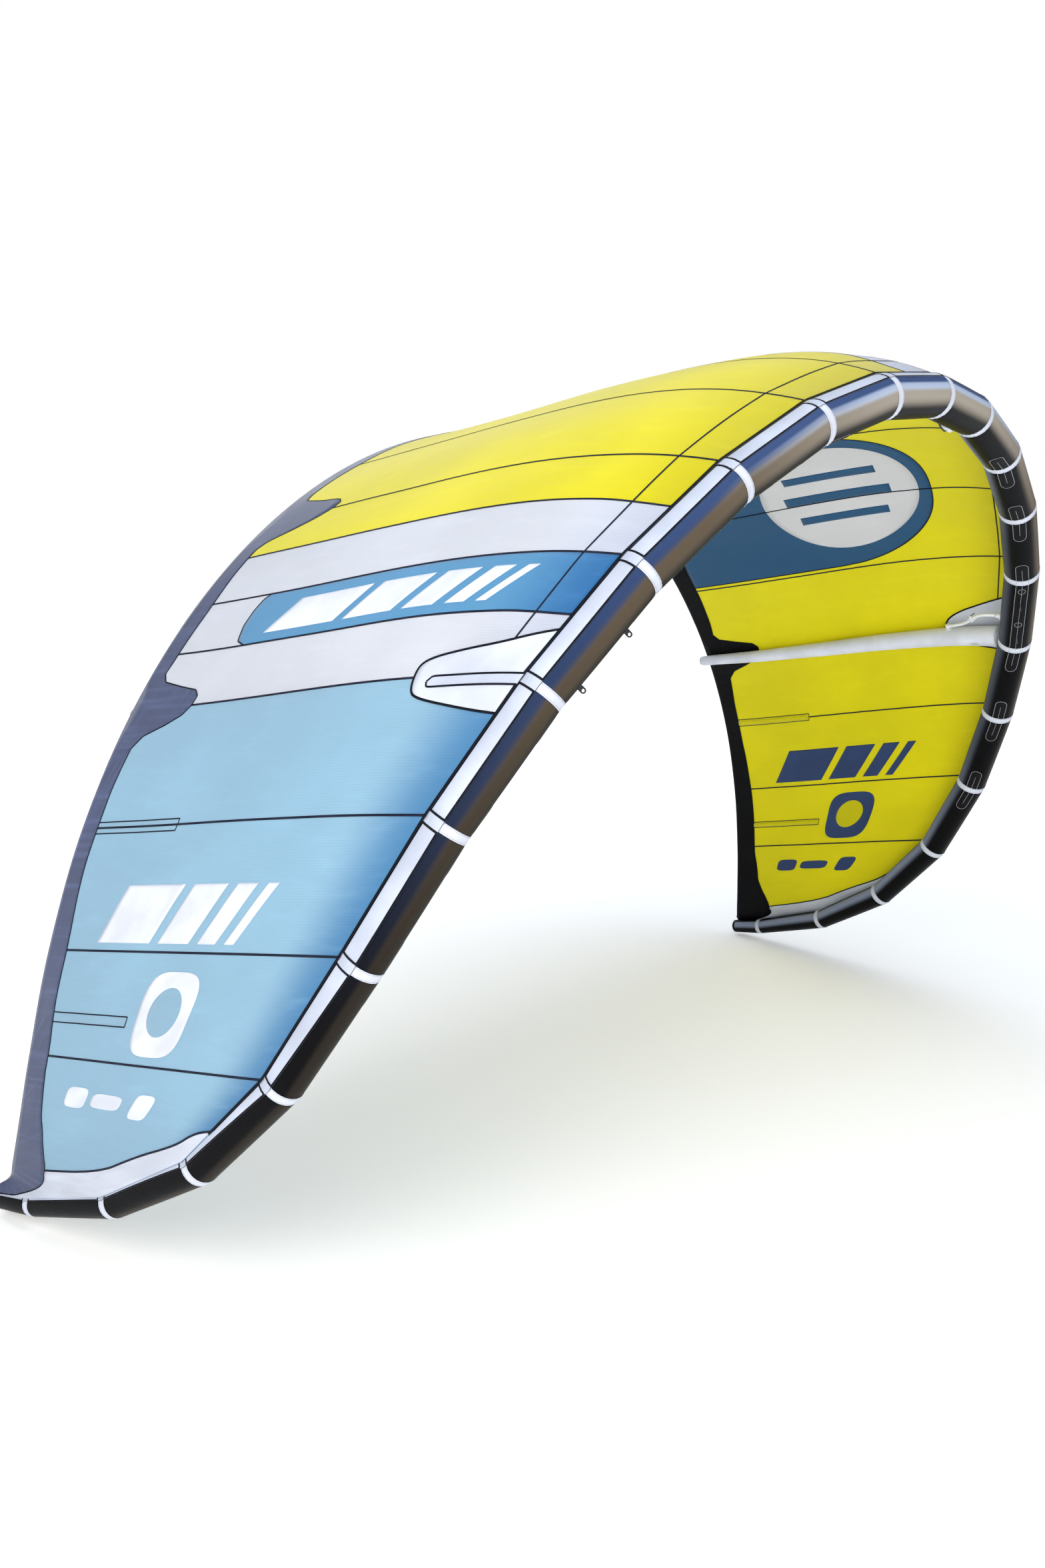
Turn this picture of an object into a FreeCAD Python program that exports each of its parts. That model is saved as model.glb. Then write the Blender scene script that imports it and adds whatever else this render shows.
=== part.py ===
import FreeCAD, Part
import Sketcher
import math
import os

# Inflatable leading-edge kite, 9 square metre class, drawn in millimetres.
# X runs along the span (+X is the right wing), Y from the leading edge to the trailing edge, Z up.
# The leading edge is a tube of straight segments, joined at stations 0 (centre) to 12 (wingtip).
# A canopy station is the chord line that leaves the tube at a joint and ends on the trailing edge.

Vector = FreeCAD.Vector
doc = FreeCAD.newDocument("kite")
sheet = doc.addObject("Spreadsheet::Sheet", "dimensions")

DIMENSIONS = {
    # leading-edge tube
    "segment_first": 289.0,     # length of the segment beside the centre
    "segment_gain": 0.795,      # growth of the segments towards the tip
    "segment_fall": 0.4536,     # slowing of that growth
    "segment_tip": 163.0,       # length of the end cap segment
    "tube_centre": 60.0,        # tube radius at the centre
    "tube_tip": 31.0,           # tube radius at the tip
    "tube_power": 4.0,          # how late along the wing the tube thins
    "droop_angle": 76.5,        # steepest fall of the wing, degrees
    "droop_reach": 0.658,       # where along the half wing it gets that steep
    "droop_power": 1.217,
    "droop_relief": 13.6,       # how much flatter the tip turns again, degrees
    "sweep_gentle": 42.0,       # sweep that grows evenly along the wing, degrees
    "sweep_tip": 36.8,          # extra sweep of the wingtip, degrees
    "sweep_from": 0.545,
    "sweep_until": 0.94,
    # canopy
    "chord_line": 1755.0,       # trailing edge behind the leading-edge axis at the centre
    "trail_dip": 21.0,
    "trail_tip": 109.0,
    "fan_one": 0.217,           # how far the seams fan out towards the tip
    "fan_two": 0.291,
    "fan_three": 0.239,
    "trail_stop": 60.0,         # how far short of the tube's end the trailing edge stops
    "flare_centre": 13.6,       # outward lift of the trailing edge
    "flare_tip": 121.0,
    "camber": 0.056,            # height of the profile over its chord, at the centre
    "camber_least": 0.004,      # the same near the wingtips
    "camber_fall": 1.48,        # how early along the wing the profile flattens
    "camber_place": 0.2675,     # where along the chord it is highest
    "leave_angle": 7.6,         # angle round the tube where the canopy leaves it, degrees
    "leave_gain": 11.5,
    "cloth": 1.5,               # thickness of the canopy panels
    "canopy_gap": 1.2,          # clearance between the canopy and the tube it leaves
    "hem": 80.0,                # width of the trailing-edge band
    "hem_tip": 50.0,            # how much wider it is at the wingtips
    "tip_corner": 26.0,         # what is left of the chord at the tube's very end
    # fabric skins
    "casing_wall": 1.2,
    "bladder_gap": 0.6,
    "film": 1.0,                # bladder wall
    "skin": 0.8,                # thickness of bands, strips and patches
    "skin_gap": 0.3,            # their clearance over what they cover
    "band_width": 24.0,
    "strip_front": -37.0,       # angle round the tube where the spine strip starts, degrees
    # struts
    "strut_front": 41.0,        # strut radius at the leading edge
    "strut_back": 22.0,         # strut radius at the trailing edge
    "strut_overhang": 24.0,     # how far the struts reach past the trailing edge
    "strut_station": 5.0,
    "strut_gap": 2.0,           # clearance between a strut and the canopy
    "tube_clear": 6.0,          # clearance between a strut's front and the leading edge
    # hoses and their clips
    "hose_radius": 6.0,
    "hose_spot": 118.0,         # along the leading edge from the strut
    "hose_angle": 98.0,         # round the tube, degrees
    "hose_back": 205.0,         # along the strut from the tube
    "clip_long": 14.0,
    "clip_wide": 24.0,
    "clip_high": 20.0,
    "clip_pin": 1.2,
    "pin_gap": 0.05,
    "ear_long": 2.6,
    "ear_wide": 6.0,
    "ear_high": 7.0,
    "arm_thick": 3.0,
    "arm_clear": 1.6,
    # valves
    "valve_spot": 225.0,        # along the leading edge from the centre
    "valve_angle": 120.0,       # round the tube, degrees
    "valve_flange": 26.0,
    "valve_sink": 8.0,          # how deep the flange block starts before the tube cuts it off
    "flange_depth": 10.0,
    "valve_neck": 13.0,
    "valve_bore": 9.0,
    "valve_height": 14.0,
    "cap_radius": 16.0,
    "cap_height": 7.0,
    "cap_gap": 0.3,
    "plug_length": 6.6,
    "dump_wider": 6.0,          # how much larger the dump valve's neck and bore are
    "dump_lower": 4.0,
    "dump_lid": 4.0,
    "dump_knuckle": 1.4,        # radius of the roll that its lid swings about
    # bridle anchors
    "anchor_angle": -160.0,     # round the tube, degrees
    "patch_half": 23.0,
    "patch_reach": 90.0,
    "loop_width": 15.0,
    "loop_length": 19.0,
    "loop_thick": 2.4,
    "loop_eye": 4.0,
    "loop_foot": 1.5,           # radius of the rolled foot that the loop swings about
    "loop_lift": 5.0,           # height of the hinge line over the tube
    # place of the frame's origin: below the middle of the kite's box
    "frame_back": 891.65,
    "frame_rise": 2355.9,
}
for row, (alias, value) in enumerate(DIMENSIONS.items(), start=1):
    sheet.set("A%d" % row, alias.replace("_", " "))
    sheet.set("B%d" % row, repr(value))
    sheet.setAlias("B%d" % row, alias)
doc.recompute()


def dim(alias):
    return float(sheet.get(alias))


def cell(alias):
    return "dimensions." + alias


# ---------------------------------------------------------------- leading-edge geometry

STATIONS = 12
ORIGIN = Vector(0, dim("frame_back"), -dim("frame_rise"))
RIGHT = 1
LEFT = -1
SIDES = ((LEFT, "left"), (RIGHT, "right"))


def smooth(x):
    x = min(max(x, 0.0), 1.0)
    return x * x * (3 - 2 * x)


def segment_length(k):
    if k == STATIONS:
        return dim("segment_tip")
    u = (k - 1) / 10.0
    return dim("segment_first") * (1 + dim("segment_gain") * u - dim("segment_fall") * u * u)


def droop(k):
    u = (k - 0.5) / STATIONS
    left_over = min(max(1 - u / dim("droop_reach"), 0.0), 1.0)
    angle = dim("droop_angle") * (1 - left_over ** dim("droop_power"))
    return math.radians(angle - dim("droop_relief") * smooth((u - 0.7) / 0.3))


def sweep(k):
    u = (k - 0.5) / STATIONS
    late = (u - dim("sweep_from")) / (dim("sweep_until") - dim("sweep_from"))
    return math.radians(dim("sweep_gentle") * u + dim("sweep_tip") * smooth(late))


def heading(k):
    a, b = droop(k), sweep(k)
    return Vector(math.cos(b) * math.cos(a), math.sin(b), -math.cos(b) * math.sin(a))


joints = [Vector(0, 0, 0)]
front_run = [0.0]
tube_run = [0.0]
for k in range(1, STATIONS + 1):
    joints.append(joints[-1] + heading(k) * segment_length(k))
    front_run.append(front_run[-1] + segment_length(k) * math.cos(sweep(k)))
    tube_run.append(tube_run[-1] + segment_length(k))


def share(k):
    return tube_run[k] / tube_run[-1]


def tube_radius(k):
    thin = share(k) ** dim("tube_power")
    return dim("tube_centre") + (dim("tube_tip") - dim("tube_centre")) * thin


def tube_axes(k):
    """Unit vectors at a joint: along the tube, outwards, and back towards the canopy."""
    if k == 0:
        along = Vector(1, 0, 0)
    elif k == STATIONS:
        along = heading(k)
    else:
        along = heading(k) + heading(k + 1)
    along.normalize()
    back = Vector(0, 1, 0) - along * along.y
    back.normalize()
    out = along.cross(back)
    if out.dot(Vector(1, 0, 1)) < 0:
        out = out * -1
    return along, out, back


def round_tube(k, radius, angle):
    """A point beside joint k, at a radius and an angle (degrees) round the tube."""
    out, back = tube_axes(k)[1:]
    a = math.radians(angle)
    return joints[k] + out * (radius * math.cos(a)) + back * (radius * math.sin(a))


def place(point, side):
    """From the right half wing's own coordinates to the frame, on either side."""
    return Vector(point.x * side, point.y, point.z) - ORIGIN


# ---------------------------------------------------------------- canopy geometry


def front_point(run):
    """The wing's front view as a function of the run along it."""
    for k in range(1, STATIONS + 1):
        if run <= front_run[k] or k == STATIONS:
            t = (run - front_run[k - 1]) / (front_run[k] - front_run[k - 1])
            return joints[k - 1] + (joints[k] - joints[k - 1]) * min(t, 1.0)


def front_droop(run):
    middles = [(front_run[k] + front_run[k - 1]) / 2 for k in range(1, STATIONS + 1)]
    if run <= middles[0]:
        return droop(1)
    for k in range(1, STATIONS):
        if run <= middles[k]:
            t = (run - middles[k - 1]) / (middles[k] - middles[k - 1])
            return droop(k) + (droop(k + 1) - droop(k)) * t
    return droop(STATIONS)


def leave_angle(k):
    """Angle round the tube where the canopy leaves it."""
    return dim("leave_angle") + dim("leave_gain") * share(k)


def canopy_start(k):
    """Where station k's chord leaves the tube, on the canopy's outer face."""
    return round_tube(k, tube_radius(k) + dim("canopy_gap") + dim("cloth"), leave_angle(k))


def trail_point(k):
    if k == STATIONS:
        return canopy_start(k) + tube_axes(k)[2] * dim("tip_corner")
    v = front_run[k] / front_run[-1]
    fan = dim("fan_one") * v - dim("fan_two") * v ** 2 + dim("fan_three") * v ** 3
    run = front_run[k] + fan * (1 - v ** 4) * front_run[-1] - dim("trail_stop") * v ** 8
    w = run / front_run[-1]
    base = front_point(run)
    a = front_droop(run)
    flare = (dim("flare_centre") + dim("flare_tip") * w ** 2) * (1 - w ** 6)
    y = dim("chord_line") - dim("trail_dip") * w ** 2 + dim("trail_tip") * w ** 4
    return Vector(base.x + flare * math.sin(a), y, base.z + flare * math.cos(a))


def station_point(k, xi, lift):
    """Point at the share xi of station k's chord, lifted off the canopy's outer face."""
    start = canopy_start(k)
    end = trail_point(k)
    chord = end - start
    length = chord.Length
    along = Vector(chord.x, chord.y, chord.z)
    along.normalize()
    out = tube_axes(k)[1]
    normal = out - along * along.dot(out)
    normal.normalize()
    top = dim("camber_place")
    power = (1 - top) / top
    peak = top * (1 - top) ** power
    camber = max(dim("camber") * (1 - dim("camber_fall") * share(k)), dim("camber_least"))
    height = camber * length / peak
    xi = min(max(xi, 0.0), 1.0)
    rise = height * xi * (1 - xi) ** power
    slope = height / length * (1 - xi) ** (power - 1) * (1 - xi - power * xi)
    lean = math.atan(slope)
    rise_dir = normal * math.cos(lean) - along * math.sin(lean)
    return start + chord * xi + normal * rise + rise_dir * lift


def canopy_point(k, xi, lift=0.0):
    low = min(int(math.floor(k)), STATIONS - 1)
    t = k - low
    a = station_point(low, xi, lift)
    b = station_point(low + 1, xi, lift)
    return a + (b - a) * t


def chord_length(k):
    return (trail_point(k) - canopy_start(k)).Length


# ---------------------------------------------------------------- shape helpers


def ring(centre, along, out, radius):
    """A round wire whose seam lies on the outward side, so that lofts don't twist."""
    side = along.cross(out)
    matrix = FreeCAD.Matrix(
        out.x, side.x, along.x, centre.x,
        out.y, side.y, along.y, centre.y,
        out.z, side.z, along.z, centre.z,
        0, 0, 0, 1)
    edge = Part.makeCircle(radius, Vector(0, 0, 0), Vector(0, 0, 1))
    edge.transformShape(matrix)
    return Part.Wire([edge])


def mirrored(shape, side):
    """The right half's shape moved into the frame, or its mirror image for the left half."""
    copy = shape.copy()
    copy.translate(ORIGIN * -1)
    if side == LEFT:
        copy = copy.mirror(Vector(0, 0, 0), Vector(1, 0, 0))
    return copy


def loft(wires):
    return Part.makeLoft(wires, True, True)


def tube_wire(k, radius, shift=0.0):
    along, out, back = tube_axes(k)
    return ring(joints[k] + along * shift, along, out, radius)


def casing_segment(k):
    """The sewn fabric tube between joints k and k + 1."""
    wall = dim("casing_wall")
    outer = loft([tube_wire(k, tube_radius(k)), tube_wire(k + 1, tube_radius(k + 1))])
    inner = loft([tube_wire(k, tube_radius(k) - wall), tube_wire(k + 1, tube_radius(k + 1) - wall)])
    return outer.cut(inner)


def beside(k, distance, extra, angle):
    """A point on the tube at a distance along it from joint k, before it when negative."""
    along, out, back = tube_axes(k)
    if distance == 0:
        return round_tube(k, tube_radius(k) + extra, angle)
    if k == 0 and distance < 0:
        mirror = beside(0, -distance, extra, angle)
        return Vector(-mirror.x, mirror.y, mirror.z)
    other = k - 1 if distance < 0 else k + 1
    direction = heading(k) if distance < 0 else heading(k + 1)
    length = segment_length(k) if distance < 0 else segment_length(k + 1)
    radius = tube_radius(k) + (tube_radius(other) - tube_radius(k)) * abs(distance) / length
    out = out - direction * direction.dot(out)
    out.normalize()
    back = out.cross(direction) * -1
    if back.y < 0:
        back = back * -1
    a = math.radians(angle)
    reach = radius + extra
    centre = joints[k] + direction * distance
    return centre + out * (reach * math.cos(a)) + back * (reach * math.sin(a))


def skin_wire(k, distance, low, high, inside, outside):
    """A slice of fabric over the tube between two angles, as a closed wire."""
    middle = (low + high) / 2
    p = [beside(k, distance, outside, a) for a in (low, middle, high)]
    q = [beside(k, distance, inside, a) for a in (low, middle, high)]
    return Part.Wire([
        Part.Arc(p[0], p[1], p[2]).toShape(),
        Part.makeLine(p[2], q[2]),
        Part.Arc(q[2], q[1], q[0]).toShape(),
        Part.makeLine(q[0], p[0])])


def skin_piece(k, distances, low, high, inside, outside):
    return loft([skin_wire(k, d, low, high, inside, outside) for d in distances])


def strip_front(k):
    """Angle where the spine strip starts: it narrows over the wingtip."""
    return dim("strip_front") + 45.0 * smooth((share(k) - 0.55) / 0.3)


def seam_band(k):
    """The folded seam tape round joint k, from one edge of the spine strip to the other."""
    half = dim("band_width") / 2
    low = leave_angle(k) + 12.0
    high = strip_front(k) + 359.0
    inside = dim("skin_gap")
    return skin_piece(k, (-half, 0, half), low, high, inside, inside + dim("skin"))


def strip_lift(k):
    """How far a strip whose edges wind round the tube must stand off to clear it."""
    turn = math.radians(strip_front(k + 1) - strip_front(k)) / 2
    return dim("skin_gap") + tube_radius(k) * (1 - math.cos(turn))


def spine_piece(k):
    low = [strip_front(j) for j in (k, k + 1)]
    inside = strip_lift(k)
    wires = [
        skin_wire(j, 0, a, leave_angle(j), inside, inside + dim("skin"))
        for j, a in zip((k, k + 1), low)]
    return loft(wires)


def tab_piece(k):
    """The stitched tab that carries the band's load on to the spine strip."""
    half = dim("band_width")
    inside = max(strip_lift(k - 1), strip_lift(k)) + dim("skin") + dim("skin_gap")
    low = strip_front(k) + 4.0
    high = leave_angle(k) - 4.0
    return skin_piece(k, (-half, 0, half), low, high, inside, inside + dim("skin"))


def profile_points(k, start, end, lift, count):
    """Points along station k between two chord shares."""
    return [canopy_point(k, start + (end - start) * i / count, lift) for i in range(count + 1)]


def smooth_edge(points):
    spline = Part.BSplineCurve()
    spline.interpolate(points)
    return spline.toShape()


def between(first, last, spans):
    """Rows of points that lead straight from one row to another."""
    return [[p + (q - p) * (i / spans) for p, q in zip(first, last)] for i in range(spans + 1)]


def hem_share(k):
    """Where the trailing-edge band begins, as a share of the chord."""
    width = dim("hem") + dim("hem_tip") * smooth((k - 9) / 2.0)
    return 1 - width / chord_length(k)


def surface_piece(first, last, outside, inside, count=6, spans=1):
    """A sheet of cloth over the canopy, between two cuts (k, first share, last share)."""
    rows = [
        between(profile_points(*first, lift, count), profile_points(*last, lift, count), spans)
        for lift in (outside, inside)]
    top, low = [[smooth_edge(points) for points in row] for row in rows]
    faces = [Part.makeRuledSurface(top[0], low[0]), Part.makeRuledSurface(top[-1], low[-1])]
    for i in range(spans):
        faces.append(Part.makeRuledSurface(top[i], top[i + 1]))
        faces.append(Part.makeRuledSurface(low[i], low[i + 1]))
        for end in (0, -1):
            walls = [Part.makeLine(rows[0][j][end], rows[1][j][end]) for j in (i, i + 1)]
            faces.append(Part.makeRuledSurface(*walls))
    shell = Part.makeShell(faces)
    shell.sewShape()
    solid = Part.makeSolid(shell.Shells[0] if shell.ShapeType != "Shell" else shell)
    if solid.Volume < 0:
        solid.reverse()
    return solid


def add_feature(name, shape):
    part = doc.addObject("Part::Feature", name)
    part.Label = name
    part.Shape = shape
    part.Placement = FreeCAD.Placement(Vector(0, 0, 0), FreeCAD.Rotation())
    return part


nodes = []


def keep(part):
    nodes.append(part)
    return part


def group_of(shapes, side):
    return Part.makeCompound([mirrored(s, side) for s in shapes])


# ---------------------------------------------------------------- leading edge

for side, side_name in SIDES:
    for number in range(4):
        pieces = [casing_segment(k) for k in range(3 * number, 3 * number + 3)]
        keep(add_feature("le_casing_%s_%d" % (side_name, number + 1), group_of(pieces, side)))

bladder_loss = dim("casing_wall") + dim("bladder_gap")
bladder_skins = [
    loft([tube_wire(k, tube_radius(k) - bladder_loss - inwards) for k in range(STATIONS + 1)])
    for inwards in (0.0, dim("film"))]
half_bladder = bladder_skins[0].cut(bladder_skins[1])
whole_bladder = mirrored(half_bladder, RIGHT).fuse(mirrored(half_bladder, LEFT))
keep(add_feature("le_bladder", Part.makeCompound([whole_bladder])))

for side, side_name in SIDES:
    first_band = 0 if side == LEFT else 1
    bands = [seam_band(k) for k in range(first_band, STATIONS)]
    keep(add_feature("seam_bands_" + side_name, group_of(bands, side)))
    strips = [spine_piece(k) for k in range(STATIONS)]
    keep(add_feature("spine_strip_" + side_name, group_of(strips, side)))
    tabs = [tab_piece(k) for k in range(1, STATIONS - 3)]
    keep(add_feature("spine_tabs_" + side_name, group_of(tabs, side)))
    plug = loft([tube_wire(STATIONS, tube_radius(STATIONS) + 0.2, s) for s in (0.2, 2.2)])
    keep(add_feature("tip_closure_" + side_name, group_of([plug], side)))

# ---------------------------------------------------------------- canopy

PANEL_GROUPS = ((0, 3), (3, 6), (6, 9), (9, 11))
CHORD_CUTS = (0.0, 0.2, 0.5)
BAND_SPANS = 5

for side, side_name in SIDES:
    for number, (first, last) in enumerate(PANEL_GROUPS, start=1):
        pieces = []
        for k in range(first, last):
            cuts = [(a, a) for a in CHORD_CUTS] + [(hem_share(k), hem_share(k + 1))]
            if k == 10:
                cuts = [cuts[0], cuts[-1]]
            for (a0, a1), (b0, b1) in zip(cuts[:-1], cuts[1:]):
                pieces.append(surface_piece((k, a0, b0), (k + 1, a1, b1), 0.0, -dim("cloth")))
        keep(add_feature("canopy_%s_%d" % (side_name, number), group_of(pieces, side)))
    pieces = []
    for k in range(STATIONS - 1):
        cuts = (k, hem_share(k), 1.0), (k + 1, hem_share(k + 1), 1.0)
        pieces.append(surface_piece(*cuts, 0.0, -dim("cloth"), 3, BAND_SPANS))
    pieces.append(surface_piece((11, 0.0, 1.0), (12, 0.0, 1.0), 0.0, -dim("cloth"), 3))
    keep(add_feature("trailing_band_" + side_name, group_of(pieces, side)))

# reinforcement patches: gussets at the trailing edge, strut roots and the wingtip
over = dim("skin_gap")
top = over + dim("skin")
strut_k = dim("strut_station")

for side, side_name in SIDES:
    gussets = []
    for k in (strut_k, 3.0):
        reach = 300.0 / chord_length(int(k))
        tip = (k, 1 - reach, 0.97)
        gussets.append(surface_piece((k - 0.35, 0.955, 0.97), tip, top, over))
        gussets.append(surface_piece(tip, (k + 0.5, 0.93, 0.97), top, over))
    keep(add_feature("trailing_gussets_" + side_name, group_of(gussets, side)))
    cuts = (strut_k - 0.35, 0.01, 0.18), (strut_k, 0.01, 0.18), (strut_k + 0.22, 0.01, 0.18)
    pieces = [surface_piece(*pair, top, over) for pair in zip(cuts[:-1], cuts[1:])]
    keep(add_feature("strut_patch_" + side_name, group_of(pieces, side)))
    inner_part = (9.0, 0.02, 0.16), (9.5, 0.02, 0.16)
    outer_part = (9.52, 0.02, 0.5), (10.0, 0.02, 0.5)
    pieces = [surface_piece(*pair, top, over) for pair in (inner_part, outer_part)]
    keep(add_feature("tip_panel_" + side_name, group_of(pieces, side)))

# ---------------------------------------------------------------- battens in their pockets

BATTENS = ((6.07, 0.66, 0.955), (7.6, 0.59, 0.945))
POCKET_WIDE, ROOM_WIDE, ROD_WIDE = 36.0, 30.0, 14.0
POCKET_HIGH, ROOM_HIGH, ROD_HIGH = 4.0, 2.8, 2.0


def pocket_shape(k, start, end, thick, wide):
    """A flat sleeve on the canopy's inner face, running along the chord."""
    per_station = wide / segment_length(int(k) + 1) / 2
    lift = -dim("cloth") - 0.4
    cuts = (k - per_station, start, end), (k + per_station, start, end)
    return surface_piece(*cuts, lift, lift - thick)


for side, side_name in SIDES:
    pockets = []
    rods = []
    for k, start, end in BATTENS:
        sleeve = pocket_shape(k, start, end, POCKET_HIGH, POCKET_WIDE)
        room = pocket_shape(k, start + 0.004, end - 0.004, ROOM_HIGH, ROOM_WIDE)
        inwards = canopy_point(k, 0.9, -1.0) - canopy_point(k, 0.9, 0.0)
        room.translate(inwards * ((POCKET_HIGH - ROOM_HIGH) / 2))
        rod = pocket_shape(k, start + 0.006, end - 0.006, ROD_HIGH, ROD_WIDE)
        rod.translate(inwards * ((POCKET_HIGH - ROD_HIGH) / 2))
        pockets.append(sleeve.cut(room))
        rods.append(rod)
    keep(add_feature("batten_pockets_" + side_name, group_of(pockets, side)))
    keep(add_feature("battens_" + side_name, group_of(rods, side)))

# ---------------------------------------------------------------- struts

STRUT_RINGS = 9
STRUTS = ((0, RIGHT, "centre"), (int(strut_k), LEFT, "left"), (int(strut_k), RIGHT, "right"))


def strut_radius(t):
    """Radius of a strut at a share of its chord."""
    return dim("strut_front") + (dim("strut_back") - dim("strut_front")) * t


def strut_drop(t):
    """Lift of the strut's axis from the canopy's outer face, negative because it hangs below."""
    return -(dim("cloth") + dim("strut_gap") + strut_radius(t))


def strut_rings(k, shrink, first, last):
    """Rings along a strut that hangs under its station's profile, from tube to trailing edge."""
    wires = []
    for i in range(STRUT_RINGS + 1):
        t = first + (last - first) * i / STRUT_RINGS
        inside = min(t, 1.0)
        drop = strut_drop(inside)
        centre = canopy_point(k, inside, drop)
        ahead = canopy_point(k, min(inside + 0.01, 1.0), drop)
        behind = canopy_point(k, max(inside - 0.01, 0.0), drop)
        along = ahead - behind
        along.normalize()
        if t > 1.0:
            centre = centre + along * ((t - 1.0) * chord_length(k))
        out = tube_axes(k)[1]
        out = out - along * along.dot(out)
        out.normalize()
        wires.append(ring(centre, along, out, strut_radius(inside) - shrink))
    return wires


def strut_start(k):
    """Chord share where the strut's round front clears the leading-edge tube."""
    return (tube_radius(k) + dim("tube_clear")) / chord_length(k)


for k, side, side_name in STRUTS:
    first = strut_start(k)
    last = 1.0 + dim("strut_overhang") / chord_length(k)
    wall = dim("casing_wall")
    outer = loft(strut_rings(k, 0.0, first, last))
    room = loft(strut_rings(k, wall, first + 0.002, last - 0.002))
    keep(add_feature("strut_casing_" + side_name, group_of([outer.cut(room)], side)))
    inner_gap = wall + dim("bladder_gap")
    skins = [loft(strut_rings(k, inner_gap + d, first + 0.004, last - 0.004)) for d in (0.0, dim("film"))]
    bladder = skins[0].cut(skins[1])
    keep(add_feature("strut_bladder_" + side_name, group_of([bladder], side)))

# ---------------------------------------------------------------- bridle anchors

def anchor_patch(k, before, after):
    """A stitched capsule on the tube, over the seam band at joint k."""
    spread = math.degrees(dim("patch_half") / tube_radius(k))
    low = dim("anchor_angle") - spread
    high = dim("anchor_angle") + spread
    inside = dim("skin_gap") * 2 + dim("skin") + 0.6
    stops = [-before, 0, after]
    return skin_piece(k, stops, low, high, inside, inside + dim("skin"))


def seat(side, k, distance, angle, lift):
    """Placement on the tube's surface: local Z points away from the tube, local X along it."""
    spot = beside(k, distance, lift, angle)
    away = spot - beside(k, distance, lift - 10.0, angle)
    along = beside(k, distance + 5.0, lift, angle) - spot
    spot = place(spot, side)
    away = Vector(away.x * side, away.y, away.z)
    along = Vector(along.x * side, along.y, along.z)
    across = away.cross(along)
    rotation = FreeCAD.Rotation(along, across, away, "ZXY")
    return FreeCAD.Placement(spot, rotation)


for side, side_name in SIDES:
    reach = dim("patch_reach")
    patches = [anchor_patch(k, reach, reach) for k in (2, 3, 6, 7)]
    patches.append(anchor_patch(4, 8.0, segment_length(5) * 0.5))
    patches.append(anchor_patch(5, segment_length(5) * 0.46, reach))
    keep(add_feature("anchor_patches_" + side_name, group_of(patches, side)))


def loop_body(name):
    """A flat webbing loop with a sewn eye, drawn upright over its hinge line."""
    body = doc.addObject("PartDesign::Body", name)
    body.Label = name
    plane = [f for f in body.Origin.OriginFeatures if f.Role == "XZ_Plane"][0]
    sketch = body.newObject("Sketcher::SketchObject", name + "_outline")
    sketch.AttachmentSupport = [(plane, "")]
    sketch.MapMode = "FlatFace"
    half = dim("loop_width") / 2
    arc_height = dim("loop_length") - half
    sketch.addGeometry([
        Part.LineSegment(Vector(-half, 0, 0), Vector(half, 0, 0)),
        Part.LineSegment(Vector(half, 0, 0), Vector(half, arc_height, 0)),
        Part.ArcOfCircle(Part.Circle(Vector(0, arc_height, 0), Vector(0, 0, 1), half), 0, math.pi),
        Part.LineSegment(Vector(-half, arc_height, 0), Vector(-half, 0, 0)),
        Part.Circle(Vector(0, arc_height, 0), Vector(0, 0, 1), dim("loop_eye")),
    ], False)
    eye = sketch.addConstraint(Sketcher.Constraint("Radius", 4, dim("loop_eye")))
    sketch.setExpression("Constraints[%d]" % eye, cell("loop_eye"))
    pad = body.newObject("PartDesign::Pad", name + "_pad")
    pad.Profile = sketch
    pad.Midplane = True
    pad.setExpression("Length", cell("loop_thick"))
    end_plane = [f for f in body.Origin.OriginFeatures if f.Role == "YZ_Plane"][0]
    roll = body.newObject("Sketcher::SketchObject", name + "_roll")
    roll.AttachmentSupport = [(end_plane, "")]
    roll.MapMode = "FlatFace"
    roll.addGeometry([Part.Circle(Vector(0, 0, 0), Vector(0, 0, 1), dim("loop_foot"))], False)
    round_foot = roll.addConstraint(Sketcher.Constraint("Radius", 0, dim("loop_foot")))
    roll.setExpression("Constraints[%d]" % round_foot, cell("loop_foot"))
    foot = body.newObject("PartDesign::Pad", name + "_foot")
    foot.Profile = roll
    foot.Midplane = True
    foot.setExpression("Length", cell("loop_width"))
    return body


LOOP_SHARES = (0.32, 0.80)
for side, side_name in SIDES:
    for number, part_way in enumerate(LOOP_SHARES, start=1):
        loop = loop_body("bridle_loop_%s_%d" % (side_name, number))
        distance = segment_length(5) * part_way
        loop.Placement = seat(side, 4, distance, dim("anchor_angle"), dim("loop_lift"))
        keep(loop)

# ---------------------------------------------------------------- valves


def cylinder(name, radius, height, placement, low=0.0):
    part = doc.addObject("Part::Cylinder", name)
    part.Label = name
    for prop, value in (("Radius", radius), ("Height", height)):
        if isinstance(value, str):
            part.setExpression(prop, value)
        else:
            setattr(part, prop, value)
    part.Placement = placement.multiply(FreeCAD.Placement(Vector(0, 0, low), FreeCAD.Rotation()))
    return part


def box(name, sizes, placement, corner):
    """A block whose three sizes are cells, its corner given in the placement's own axes."""
    part = doc.addObject("Part::Box", name)
    part.Label = name
    for prop, value in zip(("Length", "Width", "Height"), sizes):
        part.setExpression(prop, value)
    part.Placement = placement.multiply(FreeCAD.Placement(corner, FreeCAD.Rotation()))
    return part


def compound(name, parts):
    group = doc.addObject("Part::Compound", name)
    group.Label = name
    group.Links = parts
    return group


def cut(name, base, tool):
    part = doc.addObject("Part::Cut", name)
    part.Label = name
    part.Base = base
    part.Tool = tool
    return part


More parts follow.
